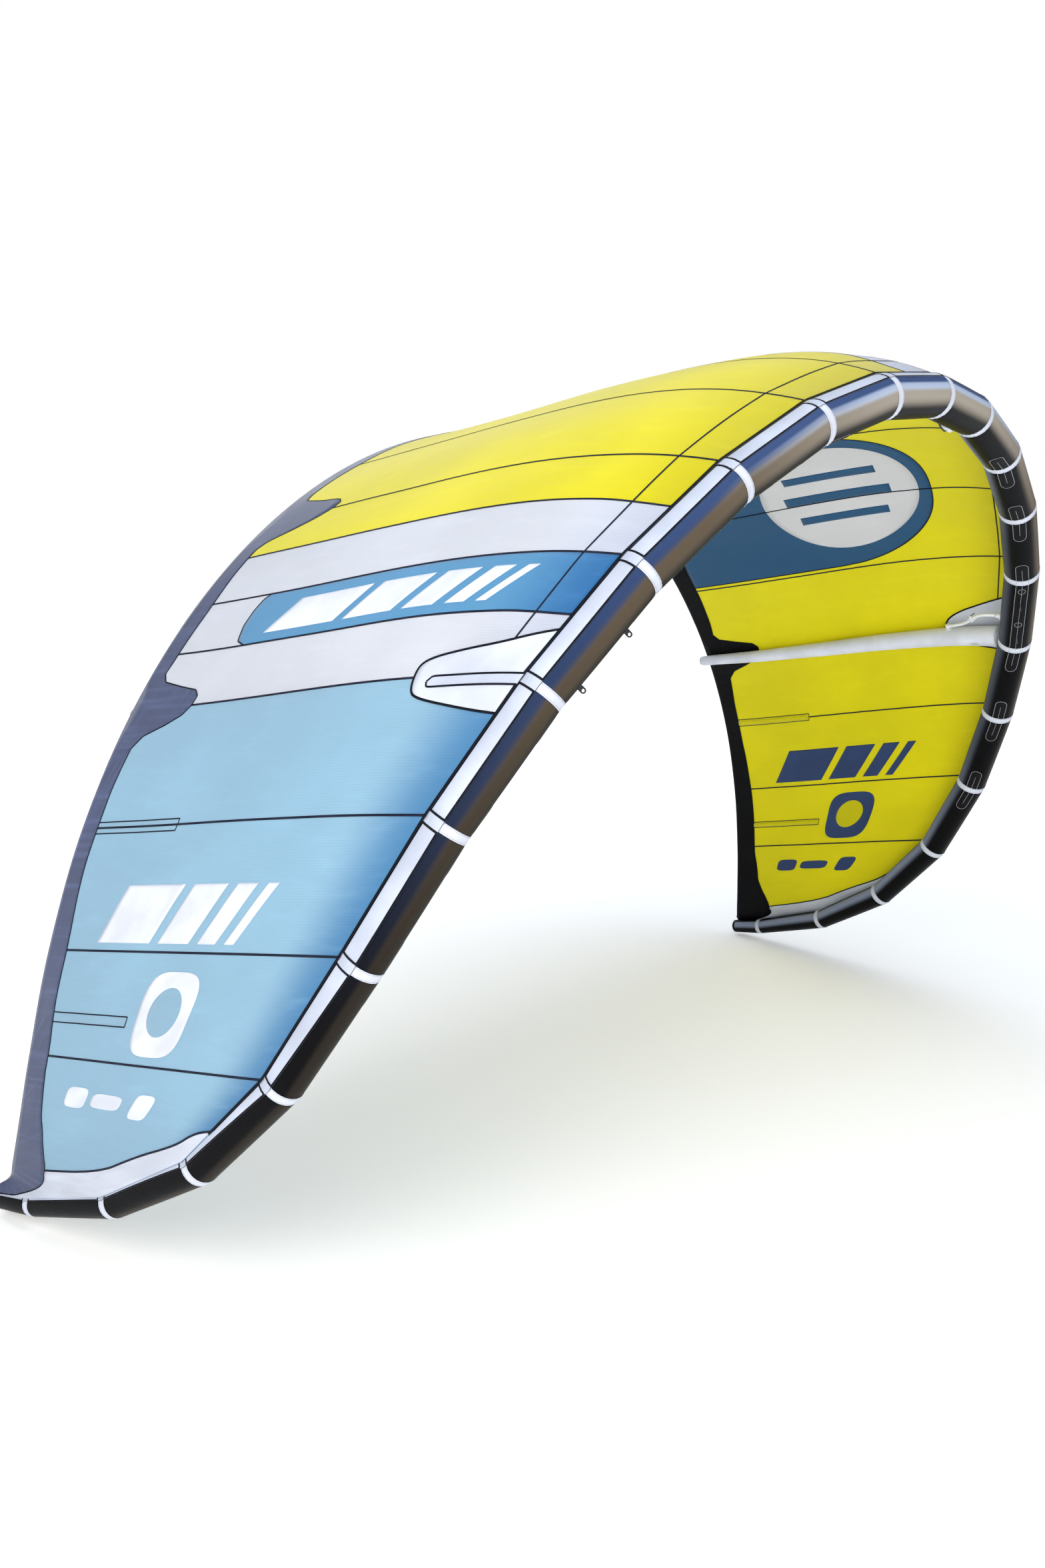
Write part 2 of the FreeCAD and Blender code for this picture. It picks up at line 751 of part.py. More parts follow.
def fuse(name, shapes):
    part = doc.addObject("Part::MultiFuse", name)
    part.Label = name
    part.Shapes = shapes
    return part


def envelope(name, side, k, extra):
    """The outside of segment k to k + 1, used to shape what sits on the tube."""
    shape = loft([tube_wire(k, tube_radius(k) + extra), tube_wire(k + 1, tube_radius(k + 1) + extra)])
    return add_feature(name, group_of([shape], side))


BORE_LENGTH = 30.0
KNUCKLE_LENGTH = 12.0
inside = -dim("valve_sink")
over_tube = dim("skin_gap")
rim = dim("valve_height")

valve_seat = seat(LEFT, 0, dim("valve_spot"), dim("valve_angle"), over_tube)
flange = cylinder("inflate_flange_disc", cell("valve_flange"), cell("flange_depth"), valve_seat, inside)
neck = cylinder("inflate_neck", cell("valve_neck"), cell("valve_height"), valve_seat)
solid_valve = fuse("inflate_valve_solid", [flange, neck])
valve_bore = cylinder("inflate_bore", cell("valve_bore"), BORE_LENGTH, valve_seat, inside - 2.0)
open_valve = cut("inflate_valve_open", solid_valve, valve_bore)
keep(cut("inflate_valve", open_valve, envelope("inflate_seat", LEFT, 0, over_tube)))

lid = cylinder("inflate_cap_lid", cell("cap_radius"), cell("cap_height"), valve_seat, rim + dim("cap_gap"))
plug_radius = cell("valve_bore") + " - " + cell("pin_gap")
stopper_foot = rim + 2 * dim("cap_gap") - dim("plug_length")
stopper = cylinder("inflate_cap_plug", plug_radius, cell("plug_length"), valve_seat, stopper_foot)
keep(fuse("inflate_cap", [lid, stopper]))

dump_seat = seat(RIGHT, 0, dim("valve_spot"), dim("valve_angle"), over_tube)
dump_rim = rim - dim("dump_lower")
wider = " + " + cell("dump_wider")
dump_disc = cylinder("dump_flange_disc", cell("valve_flange") + wider, cell("flange_depth"), dump_seat, inside)
dump_height = cell("valve_height") + " - " + cell("dump_lower")
dump_neck = cylinder("dump_neck", cell("valve_neck") + wider, dump_height, dump_seat)
dump_solid = fuse("dump_valve_solid", [dump_disc, dump_neck])
dump_bore = cylinder("dump_bore", cell("valve_bore") + wider, BORE_LENGTH, dump_seat, inside - 2.0)
dump_open = cut("dump_valve_open", dump_solid, dump_bore)
keep(cut("dump_valve", dump_open, envelope("dump_tube", RIGHT, 0, over_tube)))
lid_radius = cell("valve_neck") + wider + " + 2"
dump_lid = cylinder("dump_lid", lid_radius, cell("dump_lid"), dump_seat, dump_rim + dim("cap_gap"))
hinge_reach = dim("valve_neck") + dim("dump_wider") + 2 + 0.8
hinge_spot = Vector(0, -hinge_reach, dump_rim + dim("cap_gap"))
along_x = FreeCAD.Rotation(Vector(0, 1, 0), 90)
hinge_place = dump_seat.multiply(FreeCAD.Placement(hinge_spot, along_x))
knuckle = cylinder("dump_knuckle", cell("dump_knuckle"), KNUCKLE_LENGTH, hinge_place, -KNUCKLE_LENGTH / 2)
keep(fuse("dump_cap", [dump_lid, knuckle]))

# ---------------------------------------------------------------- one-pump hoses


def tangent_path(points):
    """Straight runs joined by tangent arcs, as one wire, and its smallest bend radius."""
    edges = []
    tightest = 1e9
    start = points[0]
    for i in range(1, len(points) - 1):
        before = points[i] - points[i - 1]
        after = points[i + 1] - points[i]
        run = min(before.Length, after.Length)
        before.normalize()
        after.normalize()
        half_turn = before.getAngle(after) / 2
        radius = 0.45 * run / math.tan(half_turn)
        first = points[i] - before * (0.45 * run)
        last = points[i] + after * (0.45 * run)
        bisector = after - before
        bisector.normalize()
        middle = points[i] + bisector * (radius / math.cos(half_turn) - radius)
        edges.append(Part.makeLine(start, first))
        edges.append(Part.Arc(first, middle, last).toShape())
        start = last
        tightest = min(tightest, radius)
    edges.append(Part.makeLine(start, points[-1]))
    return Part.Wire(edges), tightest


def turned(vector, side):
    return Vector(vector.x * side, vector.y, vector.z)


def pointing(spot, direction):
    """Placement whose local Z points along a direction."""
    return FreeCAD.Placement(spot, FreeCAD.Rotation(Vector(0, 0, 1), direction))


HOSE_RUNS = 5
COLLAR_RADIUS, COLLAR_HEIGHT = 15.0, 6.0
STUB_RADIUS, STUB_HEIGHT = 9.0, 20.0
SPIGOT_SINK = 3.0
SHOE_RADIUS, SHOE_HEIGHT = 14.0, 3.0
RISER_RADIUS, RISER_HEIGHT = 7.5, 22.0
KNEE_HEIGHT = 15.0
BARB_RADIUS, BARB_LENGTH = 6.8, 24.0
END_GAP = 1.8
BARREL_RADIUS = 2.9


def hose_ends(k, side):
    """Where a strut's hose leaves the tube and the strut: points and directions in the frame."""
    along = tube_axes(k)[0]
    distance = dim("hose_spot") if k == 0 else -dim("hose_spot")
    sideways = along if k == 0 else along * -1
    angle = dim("hose_angle")
    root = beside(k, distance, dim("skin_gap"), angle)
    away = root - beside(k, distance, -10.0, angle)
    away.normalize()
    share_back = (tube_radius(k) + dim("hose_back")) / chord_length(k)
    radius = strut_radius(share_back)
    middle = canopy_point(k, share_back, strut_drop(share_back))
    ahead = canopy_point(k, share_back - 0.01, strut_drop(share_back))
    backwards = middle - ahead
    backwards.normalize()
    sideways = sideways - backwards * backwards.dot(sideways)
    sideways.normalize()
    foot = middle + sideways * (radius + dim("skin_gap"))
    ends = place(root, side), turned(away, side), place(foot, side), turned(sideways, side)
    return ends + (turned(backwards, side),)


def clip_frame(start, end, lean):
    """Placement on the hose: local X along it, local Z towards the side that lean points to."""
    along = end - start
    along.normalize()
    up = lean - along * along.dot(lean)
    up.normalize()
    rotation = FreeCAD.Rotation(along, up.cross(along), up, "ZXY")
    return FreeCAD.Placement((start + end) * 0.5, rotation)


hoses = []
fittings = []
clip_bases = []
clip_frames = []
levers = []
for k, side, side_name in STRUTS:
    root, away, foot, sideways, back = hose_ends(k, side)
    tag = "_" + side_name
    root_place = pointing(root, away)
    collar = cylinder("tube_collar" + tag, COLLAR_RADIUS, COLLAR_HEIGHT, root_place, -SPIGOT_SINK)
    stub = cylinder("tube_stub" + tag, STUB_RADIUS, STUB_HEIGHT, root_place, -SPIGOT_SINK)
    spigot = fuse("tube_spigot" + tag, [collar, stub])
    tube_side = envelope("tube_side" + tag, side, max(k - 1, 0), over)
    fittings.append(cut("tube_fitting" + tag, spigot, tube_side))
    knee = foot + sideways * KNEE_HEIGHT
    foot_place = pointing(foot, sideways)
    shoe = cylinder("strut_shoe" + tag, SHOE_RADIUS, SHOE_HEIGHT, foot_place)
    riser = cylinder("strut_riser" + tag, RISER_RADIUS, RISER_HEIGHT, foot_place)
    barb = cylinder("strut_barb" + tag, BARB_RADIUS, BARB_LENGTH, pointing(knee, back * -1))
    elbow = fuse("strut_elbow" + tag, [shoe, riser, barb])
    fittings.append(elbow)

    begin = root + away * (STUB_HEIGHT - SPIGOT_SINK + END_GAP)
    finish = knee - back * (BARB_LENGTH + END_GAP)
    handle = (finish - begin).Length * 0.42
    control = (begin, begin + away * handle, finish - back * handle, finish)
    points = []
    for i in range(HOSE_RUNS + 1):
        t = i / HOSE_RUNS
        weights = ((1 - t) ** 3, 3 * t * (1 - t) ** 2, 3 * t * t * (1 - t), t ** 3)
        point = Vector(0, 0, 0)
        for weight, corner in zip(weights, control):
            point = point + corner * weight
        points.append(point)
    path, tightest = tangent_path(points)
    section = Part.Wire([Part.makeCircle(dim("hose_radius"), points[0], points[1] - points[0])])
    tube = path.makePipeShell([section], True, True)
    straight = path.Length * math.pi * dim("hose_radius") ** 2
    print("hose %s: length %.1f, tightest bend %.0f, volume %.0f of %.0f" % (
        side_name, path.Length, tightest, tube.Volume, straight))
    hoses.append(tube)

    frame = clip_frame(points[2], points[3], sideways)
    clip_frames.append(frame)
    long, wide, high = dim("clip_long"), dim("clip_wide"), dim("clip_high")
    block = box("clip_block" + tag, [cell(a) for a in ("clip_long", "clip_wide", "clip_high")], frame,
                Vector(-long / 2, -wide / 2, -high / 2))
    ear_sizes = [cell(a) for a in ("ear_long", "ear_wide", "ear_high")]
    ears = []
    for number, start in enumerate((-long / 2, long / 2 - dim("ear_long"))):
        corner = Vector(start, wide / 2 - dim("ear_wide"), high / 2 - 0.01)
        ears.append(box("clip_ear%s_%d" % (tag, number), ear_sizes, frame, corner))
    pin_spot = Vector(0, wide / 2 - dim("ear_wide") / 2, high / 2 + dim("ear_high") / 2)
    pin_place = frame.multiply(FreeCAD.Placement(pin_spot, along_x))
    pin_length = long - 1.0
    pin = cylinder("clip_pin" + tag, cell("clip_pin"), pin_length, pin_place, -pin_length / 2)
    way_length = long + 4.0
    way_place = frame.multiply(FreeCAD.Placement(Vector(0, 0, 0), along_x))
    way_radius = cell("hose_radius") + " + 0.4"
    through = cylinder("clip_way" + tag, way_radius, way_length, way_place, -way_length / 2)
    body = fuse("clip_body" + tag, [block] + ears + [pin])
    clip_bases.append(cut("clip_base" + tag, body, through))
    arm_sizes = [cell("clip_long") + " - 6", cell("clip_wide") + " + 2", cell("arm_thick")]
    arm_corner = Vector(-long / 2 + 3.0, -wide / 2 - 5.0, high / 2 + dim("arm_clear"))
    arm = box("clip_arm" + tag, arm_sizes, frame, arm_corner)
    barrel_length = long - 6.0
    barrel = cylinder("clip_barrel" + tag, BARREL_RADIUS, barrel_length, pin_place, -barrel_length / 2)
    bore_radius = cell("clip_pin") + " + " + cell("pin_gap")
    bore = cylinder("clip_bore" + tag, bore_radius, long, pin_place, -long / 2)
    levers.append(cut("clip_lever" + tag, fuse("clip_arm_barrel" + tag, [arm, barrel]), bore))

keep(add_feature("hoses", Part.makeCompound(hoses)))
keep(compound("hose_fittings", fittings))
keep(compound("clip_bases", clip_bases))
for lever in levers:
    keep(lever)

doc.recompute()

# ---------------------------------------------------------------- checks and export

os.makedirs("parts", exist_ok=True)
for item in doc.Objects:
    for bad in ("Invalid", "Error"):
        if bad in item.State:
            raise RuntimeError("%s is %s" % (item.Name, bad))
lo = [1e9] * 3
hi = [-1e9] * 3
for part in nodes:
    shape = part.Shape
    if shape.isNull() or not shape.isValid():
        raise RuntimeError("bad shape: " + part.Label)
    for solid in shape.Solids:
        if solid.Volume <= 0:
            raise RuntimeError("no volume: " + part.Label)
    box = shape.BoundBox
    lo = [min(a, b) for a, b in zip(lo, (box.XMin, box.YMin, box.ZMin))]
    hi = [max(a, b) for a, b in zip(hi, (box.XMax, box.YMax, box.ZMax))]
    shape.exportStep("parts/%s.step" % part.Label)
print(len(nodes), "parts, box", [round(v, 1) for v in lo], [round(v, 1) for v in hi])
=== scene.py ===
import math
import bmesh
import bpy
import numpy as np
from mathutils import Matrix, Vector, noise


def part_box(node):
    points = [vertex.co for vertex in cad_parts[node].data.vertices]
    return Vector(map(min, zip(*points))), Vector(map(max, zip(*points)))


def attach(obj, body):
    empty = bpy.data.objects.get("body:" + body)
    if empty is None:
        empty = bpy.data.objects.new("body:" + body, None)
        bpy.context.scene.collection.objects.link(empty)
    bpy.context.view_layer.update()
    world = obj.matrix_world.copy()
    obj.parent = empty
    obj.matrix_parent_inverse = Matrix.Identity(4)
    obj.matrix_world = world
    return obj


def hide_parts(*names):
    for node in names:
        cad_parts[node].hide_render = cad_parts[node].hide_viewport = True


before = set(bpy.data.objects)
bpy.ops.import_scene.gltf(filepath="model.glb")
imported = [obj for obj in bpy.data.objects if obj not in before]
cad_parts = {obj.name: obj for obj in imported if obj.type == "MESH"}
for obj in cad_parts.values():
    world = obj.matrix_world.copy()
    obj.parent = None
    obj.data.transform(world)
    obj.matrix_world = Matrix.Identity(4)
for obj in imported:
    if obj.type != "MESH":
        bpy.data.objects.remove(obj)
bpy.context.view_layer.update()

SIDES = ((-1, "left"), (1, "right"))

# ---- node trees


def rgb(red, green, blue):
    """A screen colour, 0 to 255, as a linear colour."""
    channels = []
    for value in (red, green, blue):
        v = value / 255.0
        channels.append(v / 12.92 if v <= 0.04045 else ((v + 0.055) / 1.055) ** 2.4)
    return (*channels, 1.0)


def tint(colour, factor, added=0.0):
    return (*[min(c * factor + added, 1.0) for c in colour[:3]], 1.0)


class Nodes:
    """A short way to write the node tree of a material or of the world."""

    def __init__(self, owner):
        owner.use_nodes = True
        self.owner = owner
        self.nodes, self.links = owner.node_tree.nodes, owner.node_tree.links
        self.main = self.nodes.get("Principled BSDF")

    def feed(self, socket, value):
        if hasattr(value, "is_output"):
            self.links.new(value, socket)
        else:
            socket.default_value = value

    def add(self, kind, **inputs):
        node = self.nodes.new(kind)
        for name, value in inputs.items():
            self.feed(node.inputs[name.replace("_", " ")], value)
        return node

    def set(self, **inputs):
        for name, value in inputs.items():
            self.feed(self.main.inputs[name.replace("_", " ")], value)

    def uv(self, name):
        node = self.nodes.new("ShaderNodeUVMap")
        node.uv_map = name
        return node.outputs[0]

    def place(self):
        return self.nodes.new("ShaderNodeTexCoord").outputs["Object"]

    def math(self, operation, a, b=0.0):
        node = self.nodes.new("ShaderNodeMath")
        node.operation = operation
        self.feed(node.inputs[0], a)
        self.feed(node.inputs[1], b)
        return node.outputs[0]

    def times(self, a, b):
        return self.math("MULTIPLY", a, b)

    def larger(self, a, b):
        return self.math("MAXIMUM", a, b)

    def line(self, value, factor, base):
        return self.math("ADD", self.times(value, factor), base)

    def mix(self, factor, a, b):
        node = self.nodes.new("ShaderNodeMix")
        node.data_type = "RGBA"
        for place, value in ((0, factor), (6, a), (7, b)):
            self.feed(node.inputs[place], value)
        return node.outputs[2]

    def noise(self, vector, scale, detail=3.0, stretch=None):
        if stretch:
            vector = self.add("ShaderNodeMapping", Vector=vector, Scale=stretch).outputs[0]
        return self.add("ShaderNodeTexNoise", Vector=vector, Scale=scale, Detail=detail).outputs[0]

    def waves(self, vector, period, direction="X", distortion=0.0):
        scale = 2 * math.pi / (20 * period)
        node = self.add("ShaderNodeTexWave", Vector=vector, Scale=scale, Distortion=distortion)
        node.bands_direction = direction
        node.wave_profile = "SIN"
        return node.outputs[1]

    def ramp(self, value, low, high, least=0.0, most=1.0):
        node = self.add("ShaderNodeMapRange", From_Min=low, From_Max=high, To_Min=least, To_Max=most)
        node.interpolation_type = "SMOOTHSTEP"
        self.feed(node.inputs["Value"], value)
        return node.outputs[0]

    def band(self, value, rise, fall):
        """1 between two ramps, each given by the value where it is 0 and the value where it is 1."""
        return self.times(self.ramp(value, *rise), self.ramp(value, *fall))

    def bump(self, height, distance, strength=1.0, under=None):
        node = self.add("ShaderNodeBump", Height=height, Distance=distance, Strength=strength)
        if under is not None:
            self.links.new(under, node.inputs["Normal"])
        return node.outputs[0]

    def blend(self, output, factor, first, second):
        """Sends a mixture of two shader nodes to the output."""
        both = self.nodes.new("ShaderNodeMixShader")
        for socket, value in zip(both.inputs, (factor, first.outputs[0], second.outputs[0])):
            self.feed(socket, value)
        self.links.new(both.outputs[0], output.inputs["Surface"])


# ---- camera, light and floor

CAMERA_PLACE = (-3.511, -2.548, 1.892)
CAMERA_TURN = (math.radians(80.204), 0.0, math.radians(-47.508))
LENS, CLIP_END = 29.29, 200.0
SKY_STRENGTH, BACKDROP_STRENGTH = 0.36, 1.0
SKY_RAMP = ((0.05, (1.0, 1.0, 1.0, 1)), (0.95, (0.70, 0.83, 1.0, 1)))
PAPER_WHITE = (1.0, 1.0, 1.0, 1)
FLOOR_SIZE = 60.0
FLOOR_GLOW = (1.5, 9.0, 0.25)   # distance where it starts and ends to rise, least strength
AREA_LIGHTS = (                 # name, place, target, size, power, colour
    ("key", (-6.5, -1.5, 5.0), (0, 0, 1.4), 4.5, 325.0, (1.0, 0.98, 0.95)),
    ("top", (0.0, -1.5, 7.5), (0, 0, 2.0), 6.0, 220.0, (0.86, 0.92, 1.0)),
    ("back", (3.5, 6.0, 5.0), (0, 0, 1.5), 5.0, 150.0, (0.95, 0.97, 1.0)),
    ("fill", (-4.5, -5.0, 1.2), (0.8, 0, 1.2), 3.0, 140.0, (1.0, 0.97, 0.92)))


def add_camera():
    data = bpy.data.cameras.new("camera")
    data.lens = LENS
    data.clip_end = CLIP_END
    camera = bpy.data.objects.new("camera", data)
    camera.location = CAMERA_PLACE
    camera.rotation_euler = CAMERA_TURN
    bpy.context.collection.objects.link(camera)
    bpy.context.scene.camera = camera


def add_area_light(name, place, target, size, power, colour):
    data = bpy.data.lights.new(name, "AREA")
    data.size = size
    data.energy = power
    data.color = colour
    light = bpy.data.objects.new(name, data)
    light.location = place
    light.rotation_euler = (Vector(target) - Vector(place)).to_track_quat("-Z", "Y").to_euler()
    bpy.context.collection.objects.link(light)


def add_world():
    """A soft sky that lights the kite, and a plain white backdrop where the camera sees past it."""
    world = bpy.data.worlds.new("studio")
    s = Nodes(world)
    s.nodes.clear()
    place = s.add("ShaderNodeTexCoord").outputs["Generated"]
    height = s.add("ShaderNodeSeparateXYZ", Vector=place)
    ramp = s.add("ShaderNodeValToRGB", Fac=height.outputs["Z"])
    for element, (position, colour) in zip(ramp.color_ramp.elements, SKY_RAMP):
        element.position = position
        element.color = colour
    sky = s.add("ShaderNodeBackground", Color=ramp.outputs[0], Strength=SKY_STRENGTH)
    backdrop = s.add("ShaderNodeBackground", Color=PAPER_WHITE, Strength=BACKDROP_STRENGTH)
    seen = s.add("ShaderNodeLightPath").outputs["Is Camera Ray"]
    s.blend(s.add("ShaderNodeOutputWorld"), seen, sky, backdrop)
    bpy.context.scene.world = world


def add_floor():
    half = FLOOR_SIZE / 2
    mesh = bpy.data.meshes.new("floor")
    corners = [(-half, -half, 0), (half, -half, 0), (half, half, 0), (-half, half, 0)]
    mesh.from_pydata(corners, [], [(0, 1, 2, 3)])
    floor = bpy.data.objects.new("floor", mesh)
    s = Nodes(bpy.data.materials.new("floor_paper"))
    s.set(Base_Color=(0.93, 0.93, 0.93, 1), Roughness=0.9, Specular_IOR_Level=0.1, Emission_Color=PAPER_WHITE)
    distance = s.nodes.new("ShaderNodeVectorMath")
    distance.operation = "LENGTH"
    s.feed(distance.inputs[0], s.place())
    s.set(Emission_Strength=s.ramp(distance.outputs["Value"], *FLOOR_GLOW, BACKDROP_STRENGTH))
    mesh.materials.append(s.owner)
    bpy.context.collection.objects.link(floor)


bpy.context.scene.view_settings.view_transform = "Standard"
add_camera()
add_world()
for row in AREA_LIGHTS:
    add_area_light(*row)
add_floor()

# ---- the wing's shape
# The leading edge is a tube of straight segments between joints 0 (centre) and 12 (wingtip).
# A place on the canopy is (s, xi): s is the joint number, negative on the left wing, and xi is
# the share of the chord from the leading edge to the trailing edge.

STATIONS = 12
STEPS = range(STATIONS + 1)
FRAME_BACK, FRAME_RISE = 0.89165, 2.3559
SEGMENT_FIRST, SEGMENT_GAIN, SEGMENT_FALL, SEGMENT_TIP = 0.289, 0.795, 0.4536, 0.163
TUBE_CENTRE, TUBE_TIP, TUBE_POWER = 0.060, 0.031, 4
DROOP, DROOP_REACH, DROOP_POWER = 76.5, 0.658, 1.217
DROOP_RELIEF, RELIEF_FROM, RELIEF_REACH = 13.6, 0.7, 0.3
SWEEP, SWEEP_TIP, SWEEP_FROM, SWEEP_UNTIL = 42.0, 36.8, 0.545, 0.94
CHORD_LINE, TRAIL_DIP, TRAIL_TIP, TRAIL_STOP = 1.755, 0.021, 0.109, 0.060
FAN = (0.217, -0.291, 0.239)
FLARE, FLARE_TIP = 0.0136, 0.121
CAMBER, CAMBER_FALL, CAMBER_LEAST, CAMBER_PLACE = 0.056, 1.48, 0.004, 0.2675
LEAVE_ANGLE, LEAVE_GAIN = 7.6, 11.5
CANOPY_LIFT = 0.0027
TIP_CORNER = 0.026
FRONT_BLEND = 0.12
SHIFT = np.array([0.0, -FRAME_BACK, FRAME_RISE])


def smooth(x):
    x = min(max(x, 0.0), 1.0)
    return x * x * (3 - 2 * x)


def unit(v):
    return v / np.linalg.norm(v, axis=-1, keepdims=True)


def segment_length(k):
    if k == STATIONS:
        return SEGMENT_TIP
    u = (k - 1) / (STATIONS - 2)
    return SEGMENT_FIRST * (1 + SEGMENT_GAIN * u - SEGMENT_FALL * u * u)


def droop(k):
    u = (k - 0.5) / STATIONS
    left_over = min(max(1 - u / DROOP_REACH, 0.0), 1.0)
    relief = DROOP_RELIEF * smooth((u - RELIEF_FROM) / RELIEF_REACH)
    return math.radians(DROOP * (1 - left_over ** DROOP_POWER) - relief)


def sweep(k):
    u = (k - 0.5) / STATIONS
    return math.radians(SWEEP * u + SWEEP_TIP * smooth((u - SWEEP_FROM) / (SWEEP_UNTIL - SWEEP_FROM)))


def heading(k):
    a, b = droop(k), sweep(k)
    return np.array([math.cos(b) * math.cos(a), math.sin(b), -math.cos(b) * math.sin(a)])


JOINTS = [np.zeros(3)]
FRONT_RUN = [0.0]
TUBE_RUN = [0.0]
for k in STEPS[1:]:
    JOINTS.append(JOINTS[-1] + heading(k) * segment_length(k))
    FRONT_RUN.append(FRONT_RUN[-1] + segment_length(k) * math.cos(sweep(k)))
    TUBE_RUN.append(TUBE_RUN[-1] + segment_length(k))


def run_at(s):
    """Distance along the tube from the centre, positive on both wings."""
    return float(np.interp(abs(s), STEPS, TUBE_RUN))


def share(k):
    return run_at(k) / TUBE_RUN[-1]


def tube_radius(k):
    return TUBE_CENTRE + (TUBE_TIP - TUBE_CENTRE) * share(k) ** TUBE_POWER


def tube_axes(k):
    """Unit vectors at a joint: along the tube, outwards, and back towards the canopy."""
    if k == 0:
        along = np.array([1.0, 0, 0])
    elif k == STATIONS:
        along = heading(k)
    else:
        along = unit(heading(k) + heading(k + 1))
    back = unit(np.array([0, 1.0, 0]) - along * along[1])
    out = np.cross(along, back)
    if out[0] + out[2] < 0:
        out = -out
    return along, out, back


def leave_angle(k):
    """Angle round the tube where the canopy leaves it, at a joint or between two."""
    return LEAVE_ANGLE + LEAVE_GAIN * share(k)


def canopy_start(k):
    out, back = tube_axes(k)[1:]
    a = math.radians(leave_angle(k))
    reach = tube_radius(k) + CANOPY_LIFT
    return JOINTS[k] + out * (reach * math.cos(a)) + back * (reach * math.sin(a))


def front_point(run):
    k = min(max(int(np.searchsorted(FRONT_RUN, run)), 1), STATIONS)
    t = (run - FRONT_RUN[k - 1]) / (FRONT_RUN[k] - FRONT_RUN[k - 1])
    return JOINTS[k - 1] + (JOINTS[k] - JOINTS[k - 1]) * min(t, 1.0)


def front_droop(run):
    middles = [(FRONT_RUN[k] + FRONT_RUN[k - 1]) / 2 for k in STEPS[1:]]
    return float(np.interp(run, middles, [droop(k) for k in STEPS[1:]]))


def trail_point(k):
    if k == STATIONS:
        return canopy_start(k) + tube_axes(k)[2] * TIP_CORNER
    v = FRONT_RUN[k] / FRONT_RUN[-1]
    fan = FAN[0] * v + FAN[1] * v ** 2 + FAN[2] * v ** 3
    run = FRONT_RUN[k] + fan * (1 - v ** 4) * FRONT_RUN[-1] - TRAIL_STOP * v ** 8
    w = run / FRONT_RUN[-1]
    base = front_point(run)
    a = front_droop(run)
    flare = (FLARE + FLARE_TIP * w ** 2) * (1 - w ** 6)
    y = CHORD_LINE - TRAIL_DIP * w ** 2 + TRAIL_TIP * w ** 4
    return np.array([base[0] + flare * math.sin(a), y, base[2] + flare * math.cos(a)])


STATION_LINES = []
for k in STEPS:
    start = canopy_start(k)
    chord = trail_point(k) - start
    along = unit(chord)
    out = tube_axes(k)[1]
    normal = unit(out - along * along.dot(out))
    camber = max(CAMBER * (1 - CAMBER_FALL * share(k)), CAMBER_LEAST)
    STATION_LINES.append((start, chord, normal, camber * np.linalg.norm(chord)))
CHORDS = [float(np.linalg.norm(line[1])) for line in STATION_LINES]


def station(k, xi):
    """Points on station k's profile in the frame; k is negative on the left wing."""
    start, chord, normal, height = STATION_LINES[abs(k)]
    power = (1 - CAMBER_PLACE) / CAMBER_PLACE
    peak = CAMBER_PLACE * (1 - CAMBER_PLACE) ** power
    rise = height / peak * xi * (1 - xi) ** power
    points = start + np.multiply.outer(xi, chord) + np.multiply.outer(rise, normal) + SHIFT
    points[..., 0] *= -1.0 if k < 0 else 1.0
    return points


def bare_wing(s, xi):
    """The canopy without folds: smooth across the joints, straight where it meets the tube."""
    xi = np.clip(np.asarray(xi, float), 0.0, 1.0)
    low = min(max(int(math.floor(s)), -STATIONS), STATIONS - 1)
    t = s - low
    a, b = station(low, xi), station(low + 1, xi)
    before = station(low - 1, xi) if low > -STATIONS else 2 * a - b
    after = station(low + 2, xi) if low < STATIONS - 1 else 2 * b - a
    ruled = a + (b - a) * t
    h = (2 * t ** 3 - 3 * t ** 2 + 1, t ** 3 - 2 * t ** 2 + t, -2 * t ** 3 + 3 * t ** 2, t ** 3 - t ** 2)
    curve = h[0] * a + h[1] * (b - before) / 2 + h[2] * b + h[3] * (after - a) / 2
    w = np.clip(xi / FRONT_BLEND, 0, 1)[..., None]
    w = w * w * (3 - 2 * w)
    return ruled * (1 - w) + curve * w


def chord_at(s):
    return float(np.interp(abs(s), STEPS, CHORDS))


FOLD_HEIGHT, WAVE_HEIGHT = 0.0022, 0.002
PILLOW_HEIGHT = 0.0030
BILLOW_HEIGHT, BILLOW_PANELS = 0.028, 5.0
CALM_JOINTS, CALM_REACH = (0, 5), 0.05      # the struts' joints, where the cloth lies smooth
FULL_CHORD = 0.8                            # folds shrink where the chord is shorter
NORMAL_SHARE, NORMAL_STEP = 0.004, 0.03     # steps for the canopy's normal, in xi and in s


